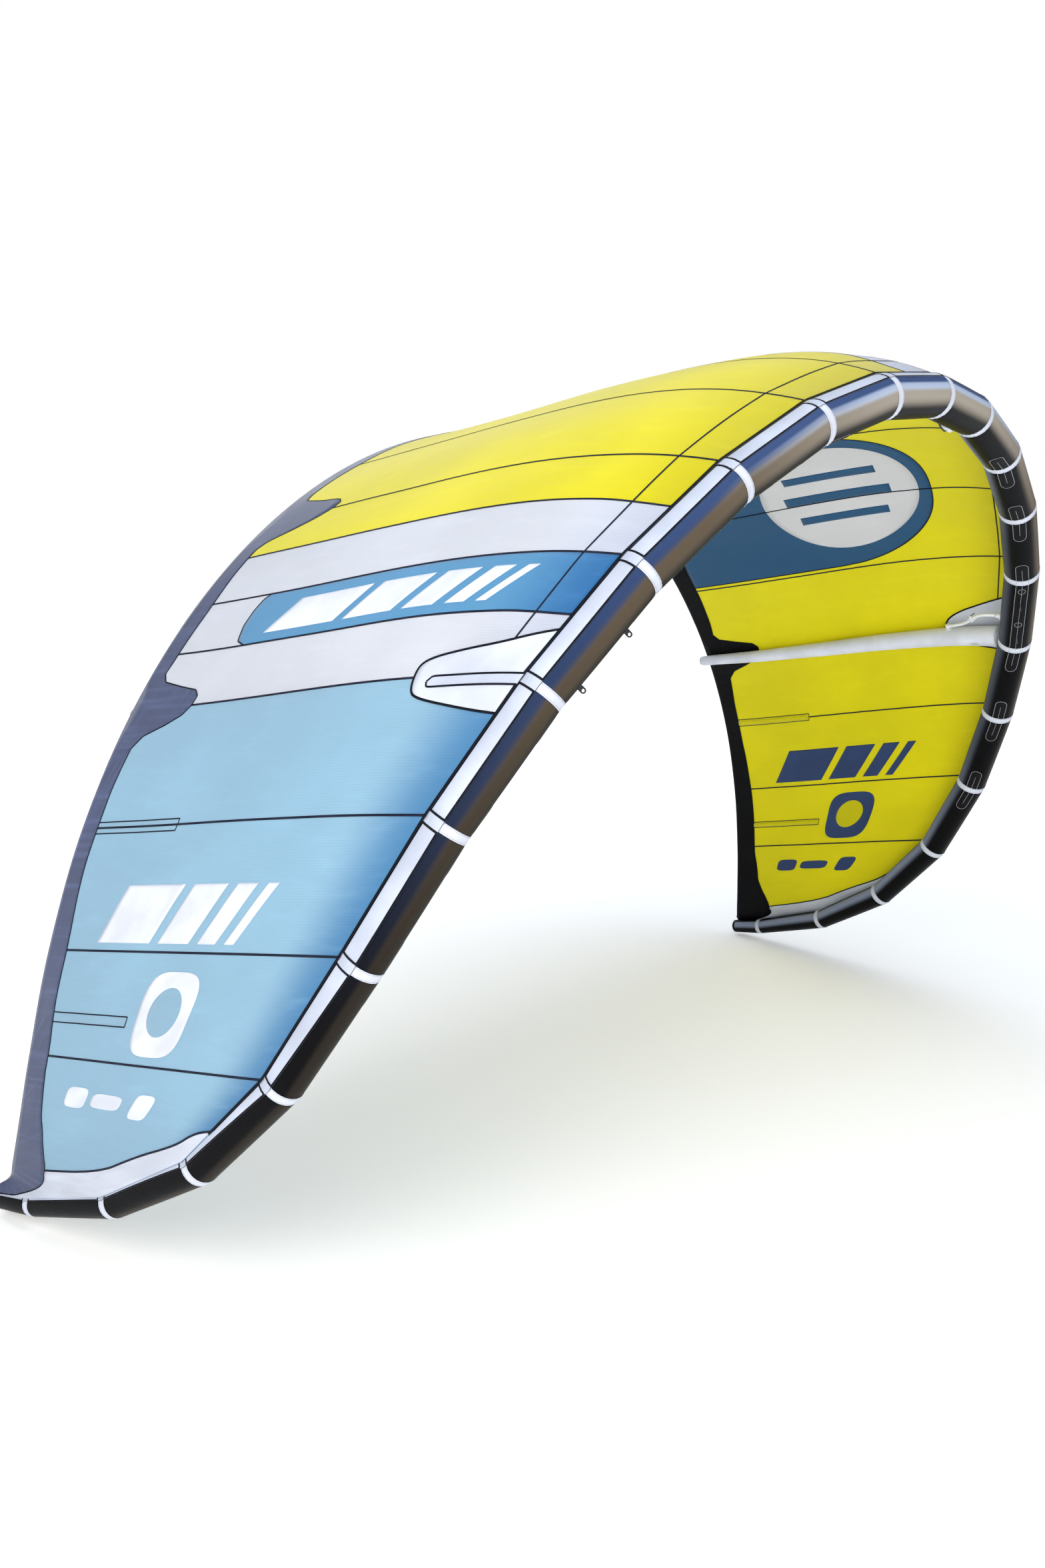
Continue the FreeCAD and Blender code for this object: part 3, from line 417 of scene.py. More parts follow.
def folds(s, xi):
    """The canopy's height off the bare wing: soft folds, full panels, billow between the struts."""
    run, chord = run_at(s), chord_at(s)
    panel = PILLOW_HEIGHT * math.sin(math.pi * (abs(s) % 1.0)) ** 2
    calm = 1.0
    for k in CALM_JOINTS:
        calm -= math.exp(-(((abs(s) - k) * segment_length(k + 1)) / CALM_REACH) ** 2)
    between_struts = math.sin(math.pi * min(abs(s) / BILLOW_PANELS, 1.0)) ** 2
    heights = []
    for x in np.atleast_1d(xi):
        back = x * chord
        billow = BILLOW_HEIGHT * between_struts * (27 / 4) * x ** 2 * (1 - x)
        fan = noise.noise(Vector((run * 5.0 + back * 3.0, back * 1.2 - run * 1.6, 3.7 if s < 0 else 8.1)))
        slow = noise.noise(Vector((run * 1.6, back * 1.1, 14.2 if s < 0 else 5.3)))
        edge = smooth(x / 0.06) * smooth((1 - x) / 0.08)
        soft = calm * (FOLD_HEIGHT * fan + WAVE_HEIGHT * slow) + panel * smooth(x / 0.3)
        heights.append(min(chord / FULL_CHORD, 1.0) * edge * soft + billow)
    return np.array(heights)


def wing_lines(s_values, xi_rows, lift=0.0):
    """A grid of points on the canopy: one line for each s, at that line's own xi values."""
    lines = []
    lifts = np.broadcast_to(lift, (len(s_values), len(xi_rows[0])))
    for s, xi, height in zip(s_values, xi_rows, lifts):
        xi = np.clip(np.asarray(xi, float), 0.0, 1.0)
        behind, ahead = np.maximum(xi - NORMAL_SHARE, 0.0), np.minimum(xi + NORMAL_SHARE, 1.0)
        left, right = max(s - NORMAL_STEP, -STATIONS), min(s + NORMAL_STEP, STATIONS)
        across = bare_wing(right, xi) - bare_wing(left, xi)
        normal = unit(np.cross(across, bare_wing(s, ahead) - bare_wing(s, behind)))
        lines.append(bare_wing(s, xi) + normal * (folds(s, xi) + height)[:, None])
    return np.array(lines)


# ---- the tube's surface

PINCH_DEPTH, PINCH_REACH = 0.0016, 0.012
PUCKER_HEIGHT, PUCKER_REACH = 0.0007, 0.035
BELLY_HEIGHT = 0.0006
AXES = [tube_axes(k) for k in STEPS]


def tube_line(j, angles, lift=0.0, side=1):
    """Points round the tube at a place j along it, angles in degrees, sewn-in puckers included."""
    low = min(int(j), STATIONS - 1)
    t = j - low
    a = np.radians(np.asarray(angles, float))
    points, radials = [], []
    for k in (low, low + 1):
        radial = np.multiply.outer(np.cos(a), AXES[k][1]) + np.multiply.outer(np.sin(a), AXES[k][2])
        points.append(JOINTS[k] + radial * tube_radius(k))
        radials.append(radial)
    length = segment_length(low + 1)
    height = np.full(a.shape, lift) + BELLY_HEIGHT * math.sin(math.pi * t)
    for k, distance in ((low, t * length), (low + 1, (1 - t) * length)):
        if k < STATIONS:
            height = height - PINCH_DEPTH * math.exp(-(distance / PINCH_REACH) ** 2)
            under = 0.4 + 0.6 * np.clip(-np.cos(a), 0, 1)
            waves = np.sin(a * 31 + 2.1 * k) + 0.6 * np.sin(a * 19 + 4.3 * k)
            height = height + PUCKER_HEIGHT * under * waves * math.exp(-distance / PUCKER_REACH)
    line = points[0] + (points[1] - points[0]) * t
    line = line + unit(radials[0] * (1 - t) + radials[1] * t) * height[:, None] + SHIFT
    line[:, 0] *= side
    return line


def tube_place(k, distance):
    """The place j that lies a distance beyond joint k, or before it when negative."""
    return k + distance / segment_length(k if distance < 0 else min(k + 1, STATIONS))


def run_place(run):
    """The place along the tube that lies a run from the centre."""
    return float(np.interp(run, TUBE_RUN, STEPS))


# ---- mesh building


class Cloth:
    """Collects grids of points and turns them into one mesh with UV maps in metres."""

    def __init__(self):
        self.points, self.faces, self.uvs, self.slots = [], [], [], []

    def grid(self, points, uv, slot=0, flip=False, closed=False):
        """Adds a grid; uv holds the weave in metres and, where it differs, the place on the canopy."""
        n, m = points.shape[:2]
        first = len(self.points)
        self.points.extend(points.reshape(-1, 3).tolist())
        uv = np.concatenate([uv, uv], axis=-1)[..., :4]
        for i in range(n - 1):
            for j in range(m if closed else m - 1):
                right = (j + 1) % m
                corners = [(i, j), (i + 1, j), (i + 1, right), (i, right)]
                if flip:
                    corners.reverse()
                self.faces.append([first + a * m + b for a, b in corners])
                ends = [(a, m if closed and b == 0 and j == m - 1 else b) for a, b in corners]
                self.uvs.extend(uv[a, b] for a, b in ends)
                self.slots.append(slot(i, j) if callable(slot) else slot)

    def slab(self, top, bottom, uv, slot=0, flip=False):
        """A closed thin layer between two grids of points, with its four edges."""
        self.grid(top, uv, slot, flip)
        self.grid(bottom, uv, slot, not flip)
        edge = slot(0, 0) if callable(slot) else slot
        weave = uv[..., :2]
        for end, turned in ((0, not flip), (-1, flip)):
            self.grid(np.stack([top[end], bottom[end]]), weave[[end, end]], edge, turned)
        for end, turned in ((0, flip), (-1, not flip)):
            rim = np.stack([top[:, end], bottom[:, end]])
            self.grid(rim, weave[:, [end, end]].transpose(1, 0, 2), edge, turned)

    def piece(self, name, materials, finish, replaced=()):
        mesh = bpy.data.meshes.new(name)
        mesh.from_pydata(self.points, [], self.faces)
        for label, columns in (("weave", slice(0, 2)), ("place", slice(2, 4))):
            values = np.array(self.uvs)[:, columns]
            mesh.uv_layers.new(name=label).data.foreach_set("uv", values.ravel())
        mesh.polygons.foreach_set("material_index", self.slots)
        mesh.polygons.foreach_set("use_smooth", [True] * len(self.faces))
        for material in materials:
            mesh.materials.append(material)
        mesh.update()
        merge_points(mesh)
        piece = bpy.data.objects.new(name, mesh)
        bpy.context.collection.objects.link(piece)
        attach(piece, "kite")
        if replaced:
            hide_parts(*replaced)
        return piece


def merge_points(mesh):
    """Joins the points that grids share, so that the layers are closed."""
    work = bmesh.new()
    work.from_mesh(mesh)
    bmesh.ops.remove_doubles(work, verts=work.verts, dist=2e-6)
    bmesh.ops.dissolve_degenerate(work, dist=1e-6, edges=work.edges)
    work.to_mesh(mesh)
    work.free()


def both_sides(name, parts=("",)):
    """The names of the CAD nodes that a piece stands for on the two wings."""
    return [name + "_" + side + part for side in ("left", "right") for part in parts]


# ---- materials

RIPSTOP = 0.0075
THREADS = 0.0016
# share of the chord over which the painted shade along the leading edge fades out
PAINTED_SHADE_REACH = 0.17


def ripstop(name, colour, front, see_through=0.3, roughness=0.5, sheen=0.3):
    """Ripstop canopy cloth: a fine grid of thicker threads, soft tone changes and small creases, with painted
    shade: the colour front is painted along the leading edge.
    """
    s = Nodes(bpy.data.materials.new(name))
    weave = s.uv("weave")
    tone = s.noise(weave, 2.2, 4.0)
    mixed = s.mix(s.ramp(tone, 0.35, 0.7), tint(colour, 0.93), colour)
    if front:
        # painted shade: the front colour at the leading edge, fading to the cloth's own colour further back
        split = s.add("ShaderNodeSeparateXYZ", Vector=s.uv("place"))
        mixed = s.mix(s.ramp(split.outputs[1], PAINTED_SHADE_REACH, 0.0), mixed, front)
    grid = s.larger(*[s.math("POWER", s.waves(weave, RIPSTOP, way), 6.0) for way in "XY"])
    mixed = s.mix(s.times(grid, 0.16), mixed, s.mix(0.5, mixed, (0.0, 0.0, 0.0, 1.0)))
    streaks = s.ramp(s.noise(weave, 26.0, 3.0, (1.0, 0.22, 1.0)), 0.5, 0.8)
    mixed = s.mix(s.times(streaks, 0.14), mixed, tint(colour, 1.25, 0.01))
    s.set(Base_Color=mixed, Roughness=s.line(tone, 0.18, roughness - 0.09))
    s.set(Sheen_Weight=sheen, Sheen_Roughness=0.45, Specular_IOR_Level=0.12)
    creases = s.bump(s.noise(weave, 26.0, 4.0, (1.0, 0.25, 1.0)), 0.003, 0.75)
    s.set(Normal=s.bump(grid, 0.00025, 0.5, creases))
    through = s.add("ShaderNodeBsdfTranslucent", Color=mixed)
    s.blend(s.nodes["Material Output"], see_through, s.main, through)
    return s.owner


def dacron(name, colour, roughness=0.5, sheen=0.2, streaky=0.0, gloss=0.3):
    """Heavier woven polyester with a satin face, streaky along the warp where it is laminated."""
    s = Nodes(bpy.data.materials.new(name))
    weave = s.uv("weave")
    tone = s.noise(weave, 6.0, 4.0)
    mixed = s.mix(s.ramp(tone, 0.3, 0.75), tint(colour, 0.8), colour)
    if streaky:
        lines = s.ramp(s.noise(weave, 40.0, 5.0, (1.0, 0.06, 1.0)), 0.45, 0.75)
        cross = s.ramp(s.noise(weave, 40.0, 5.0, (0.06, 1.0, 1.0)), 0.5, 0.8)
        mixed = s.mix(s.times(s.larger(lines, cross), streaky), mixed, tint(colour, 2.2, 0.02))
    s.set(Base_Color=mixed, Roughness=s.line(tone, 0.2, roughness - 0.1))
    s.set(Sheen_Weight=sheen, Sheen_Roughness=0.35, Specular_IOR_Level=gloss)
    threads = s.larger(s.waves(weave, THREADS, "X"), s.waves(weave, THREADS, "Y"))
    grain = s.bump(s.noise(weave, 220.0, 2.0), 0.0004, 0.4)
    s.set(Normal=s.bump(threads, 0.00018, 0.6, grain))
    return s.owner


def tube_cloth_painted_reflections():
    """Black satin tube cloth with a pebbled weave, and painted reflections in its colour: a blue painted sky
    reflection where it faces up, a bronze painted reflection in front, pale painted highlights near the
    centre and a pale painted sheen on the canopy side.
    """
    s = Nodes(bpy.data.materials.new("tube_cloth_painted_reflections"))
    weave = s.uv("weave")
    tone = s.noise(weave, 5.0, 4.0)
    split = s.add("ShaderNodeSeparateXYZ", Vector=weave)
    around = s.times(split.outputs[1], 1 / (math.radians(1.0) * TUBE_CENTRE))
    away = s.math("ABSOLUTE", split.outputs[0])
    # Masks for the painted reflections: middle fades them out towards the wingtips, centre keeps the
    # highlights near the centre of the span.
    middle = s.ramp(away, 2.6, 0.6)
    centre = s.ramp(away, 1.1, 0.15)
    # Painted reflection: a bronze band over the front of the tube, stronger in the middle of the span.
    front = s.band(around, (232, 266), (306, 288))
    mixed = s.mix(tone, rgb(4, 4, 6), rgb(10, 10, 12))
    mixed = s.mix(s.times(front, s.line(middle, 0.6, 0.1)), mixed, rgb(112, 98, 80))
    # Painted highlight: a pale band in front of the tube, near the centre of the span.
    mixed = s.mix(s.times(s.times(front, centre), 0.75), mixed, rgb(176, 168, 156))
    # Painted reflection of the sky: blue on the upper front of the tube, in the middle of the span.
    blue = s.times(s.ramp(around, 284, 304), middle)
    mixed = s.mix(s.times(blue, 0.9), mixed, rgb(56, 76, 118))
    # Painted highlight: a pale blue-white band on the upper front, near the centre of the span.
    pale = s.times(s.band(around, (278, 290), (308, 298)), centre)
    mixed = s.mix(s.times(pale, 0.8), mixed, rgb(176, 190, 214))
    # Painted sheen: a pale blue-grey band on the canopy side of the tube, strongest near the wingtips and the
    # centre.
    tips = s.larger(s.ramp(away, 2.0, 3.2), centre)
    inner = s.times(s.band(around, (96, 116), (172, 136)), s.line(tips, 0.6, 0.2))
    mixed = s.mix(inner, mixed, rgb(146, 156, 182))
    s.set(Base_Color=mixed, Roughness=s.line(tone, 0.12, 0.36), Specular_IOR_Level=0.06)
    pebbles = s.noise(weave, 130.0, 3.0, (1.0, 0.6, 1.0))
    creases = s.bump(s.noise(weave, 16.0, 4.0, (0.5, 1.0, 1.0)), 0.003, 0.45)
    s.set(Normal=s.bump(pebbles, 0.0012, 0.5, creases))
    return s.owner


def stitched(name, colour, thread, rows, width, pitch=0.0045):
    """Seam tape: rows of dashed stitches along it. V runs across the tape, in metres."""
    s = Nodes(bpy.data.materials.new(name))
    weave = s.uv("weave")
    split = s.add("ShaderNodeSeparateXYZ", Vector=weave)
    sewn = 0.0
    for row in rows:
        away = s.math("ABSOLUTE", s.math("SUBTRACT", split.outputs[1], row * width))
        sewn = s.larger(sewn, s.ramp(away, 0.0011, 0.0006))
    sewn = s.times(s.ramp(s.waves(weave, pitch, "X"), 0.25, 0.45), sewn)
    cloth = s.mix(s.noise(weave, 8.0, 3.0), tint(colour, 0.78), colour)
    s.set(Base_Color=s.mix(sewn, cloth, thread), Roughness=0.6, Specular_IOR_Level=0.12)
    threads = s.bump(s.noise(weave, 260.0, 2.0), 0.0005, 0.4)
    s.set(Normal=s.bump(sewn, 0.0006, 0.8, threads))
    return s.owner


def plastic(name, colour, roughness, grain=0.0002, see_through=0.0):
    """Moulded plastic with a fine texture and slight colour change."""
    s = Nodes(bpy.data.materials.new(name))
    place = s.place()
    tone = s.noise(place, 40.0, 3.0)
    s.set(Base_Color=s.mix(tone, tint(colour, 0.85), colour), Roughness=s.line(tone, 0.15, roughness - 0.07))
    s.set(Normal=s.bump(s.noise(place, 900.0, 2.0), grain, 0.4), Transmission_Weight=see_through)
    return s.owner


def webbing(name, colour):
    """Woven strap: diagonal ribs in the colour and the bump."""
    s = Nodes(bpy.data.materials.new(name))
    ribs = s.waves(s.place(), 0.0018, "DIAGONAL", 0.6)
    s.set(Base_Color=s.mix(ribs, tint(colour, 0.5), colour), Roughness=0.7, Sheen_Weight=0.3)
    s.set(Normal=s.bump(ribs, 0.0006, 0.8))
    return s.owner


# The second colour of each canopy cloth is painted shade along the leading edge.
YELLOW = ripstop("canopy_yellow", rgb(242, 233, 4), rgb(224, 214, 0), 0.42, 0.5, 0.5)
BLUE = ripstop("canopy_blue", rgb(154, 195, 218), rgb(80, 138, 184), 0.3, 0.5, 0.6)
LOGO_BLUE = ripstop("panel_blue", rgb(100, 164, 208), rgb(54, 116, 174))
WHITE = ripstop("canopy_white", rgb(220, 223, 231), rgb(202, 207, 222))
STEEL = ripstop("canopy_steel", rgb(42, 86, 124), rgb(36, 76, 114), 0.12, 0.5, 0.1)
PALE = ripstop("print_pale", rgb(212, 212, 216), None, 0.1)
BAND_OUT = dacron("band_outside", rgb(68, 77, 108), 0.5, 0.3, 0.3)
BAND_IN = dacron("band_inside", rgb(8, 8, 11), 0.6, 0.0, 0.08, 0.08)
LINE = stitched("seam_line", rgb(22, 26, 44), rgb(44, 48, 68), (0.5,), 0.006)
DARK_LINE = stitched("edge_line", rgb(8, 10, 20), rgb(28, 32, 46), (0.5,), 0.005)
THREAD = stitched("anchor_thread", rgb(120, 122, 128), rgb(190, 192, 198), (0.5,), 0.0016, 0.003)
STRIP = dacron("spine_cloth", rgb(190, 197, 214), 0.45, 0.2)
TAPE = stitched("band_tape", rgb(214, 218, 230), rgb(158, 164, 182), (0.14, 0.86), 0.024)
TUBE = tube_cloth_painted_reflections()
STRUT = dacron("strut_cloth", rgb(222, 226, 240), 0.42, 0.3)
PATCH = dacron("patch_cloth", rgb(206, 211, 224), 0.5, 0.2)
ANCHOR = dacron("anchor_cloth", rgb(15, 15, 18), 0.55, 0.02, 0.0, 0.1)
MARK_WHITE = dacron("print_white", rgb(224, 228, 240), 0.5, 0.1)
MARK_NAVY = dacron("print_navy", rgb(34, 58, 104), 0.5, 0.1)
HOSE = plastic("hose_plastic", rgb(236, 239, 246), 0.35, 0.0001)
FITTING = plastic("fitting_plastic", rgb(228, 231, 238), 0.4)
CLIP = plastic("clip_plastic", rgb(40, 42, 48), 0.45)
VALVE = plastic("valve_plastic", rgb(214, 218, 224), 0.38)
WEBBING = webbing("loop_webbing", rgb(30, 30, 34))
ROD = plastic("batten_plastic", rgb(225, 225, 215), 0.35)
FILM = plastic("bladder_film", rgb(206, 212, 216), 0.3, 0.0001, 0.4)

# ---- canopy sheet

CLOTH = 0.0006
INSIDE = -CLOTH         # height of the canopy's inner face
COLUMNS, ROWS = 16, 84
COLOUR_LINES = (-5.0, -4.5, -4.0, -3.5, -0.45, 0.9)
FRONT_CROWDING = 0.35   # how far the rows crowd towards the leading edge


def sheet_slot(s):
    """The cloth of a panel, by its place along the wing."""
    if s < COLOUR_LINES[0]:
        return 1
    return 2 if s < COLOUR_LINES[3] or COLOUR_LINES[4] < s < COLOUR_LINES[5] else 0


def even_columns(count):
    return set(np.round(np.linspace(-STATIONS, STATIONS, 2 * STATIONS * count + 1), 5).tolist())


def layer(cloth, columns, shares, upper, lower, slot=0, flip=False, weave_only=False):
    """A closed layer over part of the canopy, between two heights off its outer face."""
    uv = []
    for s, xi in zip(columns, shares):
        run, chord = math.copysign(run_at(s), s), chord_at(s)
        uv.append([(run, x * chord, s / (2 * STATIONS) + 0.5, x) for x in xi])
    top = wing_lines(columns, shares, upper)
    uv = np.array(uv)[..., :2] if weave_only else np.array(uv)
    cloth.slab(top, wing_lines(columns, shares, lower), uv, slot, flip)
    return top


def build_canopy():
    columns = sorted(even_columns(COLUMNS) | set(COLOUR_LINES))
    even = np.linspace(0, 1, ROWS + 1)
    xi = FRONT_CROWDING * (1 - np.cos(even * math.pi / 2)) + (1 - FRONT_CROWDING) * even
    cloth = Cloth()

    def slot(i, j):
        return sheet_slot((columns[i] + columns[i + 1]) / 2)

    top = layer(cloth, columns, [xi] * len(columns), 0.0, INSIDE, slot)
    panels = both_sides("canopy", ("_1", "_2", "_3", "_4"))
    piece = cloth.piece("canopy_sheet", [YELLOW, BLUE, WHITE, LOGO_BLUE], "canopy_yellow", panels)
    area = 0.0
    for a, b in zip(top[:-1], top[1:]):
        crosses = np.cross(b[1:] - a[:-1], b[:-1] - a[1:])
        area += 0.5 * float(np.linalg.norm(crosses, axis=1).sum())
    return piece, area


canopy, canopy_area = build_canopy()


def shape_slab(cloth, columns, lows, highs, lift, thick, slot=0, faces=("out", "in"), rows=14):
    """A layer over a region between two shares of the chord, one pair for each column."""
    shares = [np.linspace(low, high, rows + 1) for low, high in zip(lows, highs)]
    for face in faces:
        upper = lift + thick if face == "out" else INSIDE - lift
        layer(cloth, columns, shares, upper, upper - thick, slot)


# ---- trailing-edge band

BAND_POINTS = (
    (0.0, 0.955), (1.0, 0.950), (2.2, 0.946), (2.62, 0.948), (2.72, 0.940), (2.80, 0.88), (2.86, 0.81),
    (2.93, 0.795), (3.00, 0.800), (3.10, 0.825), (3.22, 0.87), (3.32, 0.92), (3.40, 0.938), (3.7, 0.945),
    (4.1, 0.943), (4.55, 0.947), (4.68, 0.952), (4.76, 0.935), (4.82, 0.870), (4.86, 0.820), (4.92, 0.803),
    (5.00, 0.805), (5.08, 0.820), (5.16, 0.860), (5.24, 0.915), (5.34, 0.938), (5.7, 0.945), (6.3, 0.940),
    (7.05, 0.920), (7.65, 0.910), (8.15, 0.900), (8.8, 0.860), (9.2, 0.80), (9.55, 0.730), (10.0, 0.620),
    (10.35, 0.475), (10.8, 0.30), (11.2, 0.16), (12.0, 0.05))
BAND_LIFT, BAND_THICK = 0.0009, 0.0006
GUSSETS = (2.95, 5.0)


def band_edge(s):
    values, shares = zip(*BAND_POINTS)
    return float(np.interp(abs(s), values, shares))


def band_columns():
    """Columns evenly spaced, and closer where the band's gussets reach forward."""
    columns = even_columns(12)
    for centre in GUSSETS:
        for d in np.linspace(-0.4, 0.5, 46):
            columns |= {round(centre + float(d), 5), round(-centre - float(d), 5)}
    return sorted(c for c in columns if abs(c) <= STATIONS)


def build_band():
    columns = band_columns()
    shares = [np.linspace(band_edge(s), 1.0, 9) for s in columns]
    cloth = Cloth()
    for slot, upper in ((0, BAND_LIFT), (1, INSIDE - BAND_LIFT + BAND_THICK)):
        layer(cloth, columns, shares, upper, upper - BAND_THICK, slot, weave_only=True)
    nodes = both_sides("trailing_band") + both_sides("trailing_gussets")
    return cloth.piece("trailing_edge_band", [BAND_OUT, BAND_IN], "dark_cloth", nodes)


band = build_band()

# ---- seams and outlines

SEAM_LIFT = 0.0006
RIBBON_THICK, RIBBON_PROBE = 0.0003, 0.004
LAST_SEAM = 8
SEAM_FRONT, BACK_SEAM, FRONT_LINE = 0.003, 0.062, 0.0014


def ribbon(cloth, middle, above, runs, width, slot):
    """A narrow tape along a line of points; the second line lies on its upper side."""
    normal = unit(above - middle)
    along = unit(np.gradient(middle, axis=0))
    across = unit(np.cross(normal, along)) * (width / 2)
    grid = np.stack([middle - across, middle, middle + across], axis=1)
    uv = np.array([[(a, 0.0), (a, width / 2), (a, width)] for a in runs])
    cloth.slab(grid + (normal * RIBBON_THICK)[:, None, :], grid, uv, slot)


def runs_along(points):
    steps = np.linalg.norm(np.diff(points, axis=0), axis=1)
    return np.concatenate([[0.0], np.cumsum(steps)])


def wing_points(path, lift):
    return np.array([wing_lines([s], [[x]], lift)[0, 0] for s, x in path])


def wing_ribbon(cloth, path, width, lift, slot=0, faces=("out", "in"), step=0.02):
    """A narrow tape along a path of (s, xi) places, on the outer and the inner face."""
    runs = runs_along(wing_points(path, 0.0))
    at = np.linspace(0, runs[-1], max(int(runs[-1] / step), 2) + 1)
    places = list(zip(*[np.interp(at, runs, values) for values in zip(*path)]))
    for face in faces:
        sign, base = (1, 0.0) if face == "out" else (-1, INSIDE)
        middle = wing_points(places, base + sign * lift)
        above = wing_points(places, base + sign * (lift + RIBBON_PROBE))
        ribbon(cloth, middle, above, at, width, slot)


def chord_seam(cloth, s, lift):
    wing_ribbon(cloth, [(s, SEAM_FRONT), (s, band_edge(s))], 0.006, lift)


def build_seams():
    cloth = Cloth()
    for side, _ in SIDES:
        for k in range(0 if side < 0 else 1, LAST_SEAM + 1):
            chord_seam(cloth, side * k, SEAM_LIFT)
    for s in COLOUR_LINES[1:]:
        chord_seam(cloth, s, SEAM_LIFT + 0.0002)
    for side, _ in SIDES:
        line = [(side * s, BACK_SEAM) for s in np.linspace(0, 4.98, 60)]
        wing_ribbon(cloth, line, 0.005, SEAM_LIFT)
    front = [(s, FRONT_LINE) for s in np.linspace(-8.65, 8.65, 400)]
    wing_ribbon(cloth, front, 0.0070, 0.0018, 1, ("out",))
    edge = [(s, band_edge(s)) for s in band_columns()]
    wing_ribbon(cloth, edge, 0.004, BAND_LIFT, 1, step=0.008)
    return cloth.piece("canopy_seams", [LINE, DARK_LINE], "dark_cloth")


seams = build_seams()

# ---- leading-edge tube

STRIP_FRONT, STRIP_NARROWS = -37.0, 45.0
STRIP_LIFT, STRIP_THICK = 0.0010, 0.0007
STRIP_TOP = STRIP_LIFT + STRIP_THICK
STRIP_BACK_EDGE_ENDS = 8.7
BAND_WIDTH, TAPE_THICK = 0.024, 0.0008
LINE_THICK, TAB_LINE_LIFT, TAB_LINE_THICK = 0.0002, 0.0007, 0.0004
TUBE_WALL = 0.0011
TUBE_TURNS = 112
NEAR_JOINT = (0.004, 0.008, 0.012, 0.017, 0.024, 0.034, 0.05)
TAB_HALF, TAB_EDGE, TAB_EDGE_HALF = 0.017, 0.0160, 0.0028
TIP_RINGS = (
    (1.0, -0.012), (1.0, 0.0), (0.985, 0.0015), (0.9, 0.0035), (0.7, 0.0055), (0.4, 0.0070), (0.0, 0.0075))


def strip_front(j):
    """Angle round the tube where the spine strip starts: it narrows over the wingtip."""
    return STRIP_FRONT + STRIP_NARROWS * smooth((share(j) - 0.55) / 0.3)


def tube_stations(step=14):
    """Places along the half tube, closer beside the joints."""
    places = {float(STATIONS)}
    for k in STEPS[:-1]:
        places |= {round(k + i / step, 5) for i in range(step)}
        for d in NEAR_JOINT:
            places |= {round(tube_place(k, d), 5), round(tube_place(k + 1, -d), 5)}
    places = sorted(places)
    return [-j for j in reversed(places) if j > 0] + places


def tube_lines(places, angles, lift):
    return np.array([tube_line(abs(j), angles, lift, -1 if j < 0 else 1) for j in places])


def tube_weave(places, angles):
    around = np.radians(angles) * TUBE_CENTRE
    return np.array([[(math.copysign(run_at(j), j), v) for v in around] for j in places])


def build_tube():
    places = tube_stations()
    angles = np.linspace(0, 360, TUBE_TURNS, endpoint=False)
    outer, inner = tube_lines(places, angles, 0.0), tube_lines(places, angles, -TUBE_WALL)
    weave = tube_weave(places, np.linspace(0, 360, TUBE_TURNS + 1))
    cloth = Cloth()
    cloth.grid(outer, weave, closed=True, flip=True)
    cloth.grid(inner, weave, closed=True)
    for end, flip in ((0, False), (-1, True)):
        cloth.grid(np.stack([outer[end], inner[end]]), weave[[end, end]], closed=True, flip=flip)
    nodes = both_sides("le_casing", ("_1", "_2", "_3", "_4"))
    return cloth.piece("leading_edge_tube", [TUBE], "tube_black", nodes)


tube = build_tube()


def tube_slab(cloth, places, low, high, lift, thick, slot=0, count=10):
    """A layer of cloth on the tube between two angles, each a function of the place."""
    rows = [np.linspace(low(abs(j)), high(abs(j)), count + 1) for j in places]
    top, bottom = [
        np.concatenate([tube_lines([j], angles, height) for j, angles in zip(places, rows)])
        for height in (lift + thick, lift)]
    weave = np.concatenate([tube_weave([j], angles) for j, angles in zip(places, rows)])
    cloth.slab(top, bottom, weave, slot, flip=True)


def build_strip():
    places = tube_stations(10)
    inboard = [j for j in places if abs(j) < STRIP_BACK_EDGE_ENDS]
    cloth = Cloth()
    tube_slab(cloth, places, strip_front, lambda j: leave_angle(j) + 1.5, STRIP_LIFT, STRIP_THICK)
    tube_slab(cloth, places, strip_front, lambda j: strip_front(j) + 4.5, STRIP_TOP, LINE_THICK, 1, 2)
    tube_slab(cloth, inboard, lambda j: leave_angle(j) - 4.0, lambda j: leave_angle(j) + 1.0,
              STRIP_TOP, LINE_THICK, 1, 2)
    return cloth.piece("spine_strip", [STRIP, DARK_LINE], "strut_white", both_sides("spine_strip"))


def around_joint(k, side, offsets, angles, lift):
    """Lines round the tube at distances from joint k; those before joint 0 lie on the other wing."""
    lines = []
    for d in offsets:
        over = k == 0 and d < 0
        place = tube_place(k, -d if over else d)
        lines.append(tube_line(place, angles, lift, -side if over else side))
    return np.array(lines)


def joint_slab(cloth, k, side, offsets, angles, lift, thick, slot=0, radius=TUBE_CENTRE):
    """A tape round the tube near joint k, with V running across it."""
    uv = np.array([[(math.radians(a) * radius, d - offsets[0]) for a in angles] for d in offsets])
    top = around_joint(k, side, offsets, angles, lift + thick)
    cloth.slab(top, around_joint(k, side, offsets, angles, lift), uv, slot, flip=side > 0)


def build_bands():
    for side, name in SIDES:
        cloth = Cloth()
        for k in range(0 if side < 0 else 1, STATIONS):
            angles = np.linspace(leave_angle(k) + 10.0, strip_front(k) + 360.5, 73)
            offsets = np.linspace(-BAND_WIDTH / 2, BAND_WIDTH / 2, 9)
            joint_slab(cloth, k, side, offsets, angles, TAPE_THICK, TAPE_THICK, 0, tube_radius(k))
        cloth.piece("seam_bands_" + name + "_cloth", [TAPE], "white_cloth", ["seam_bands_" + name])


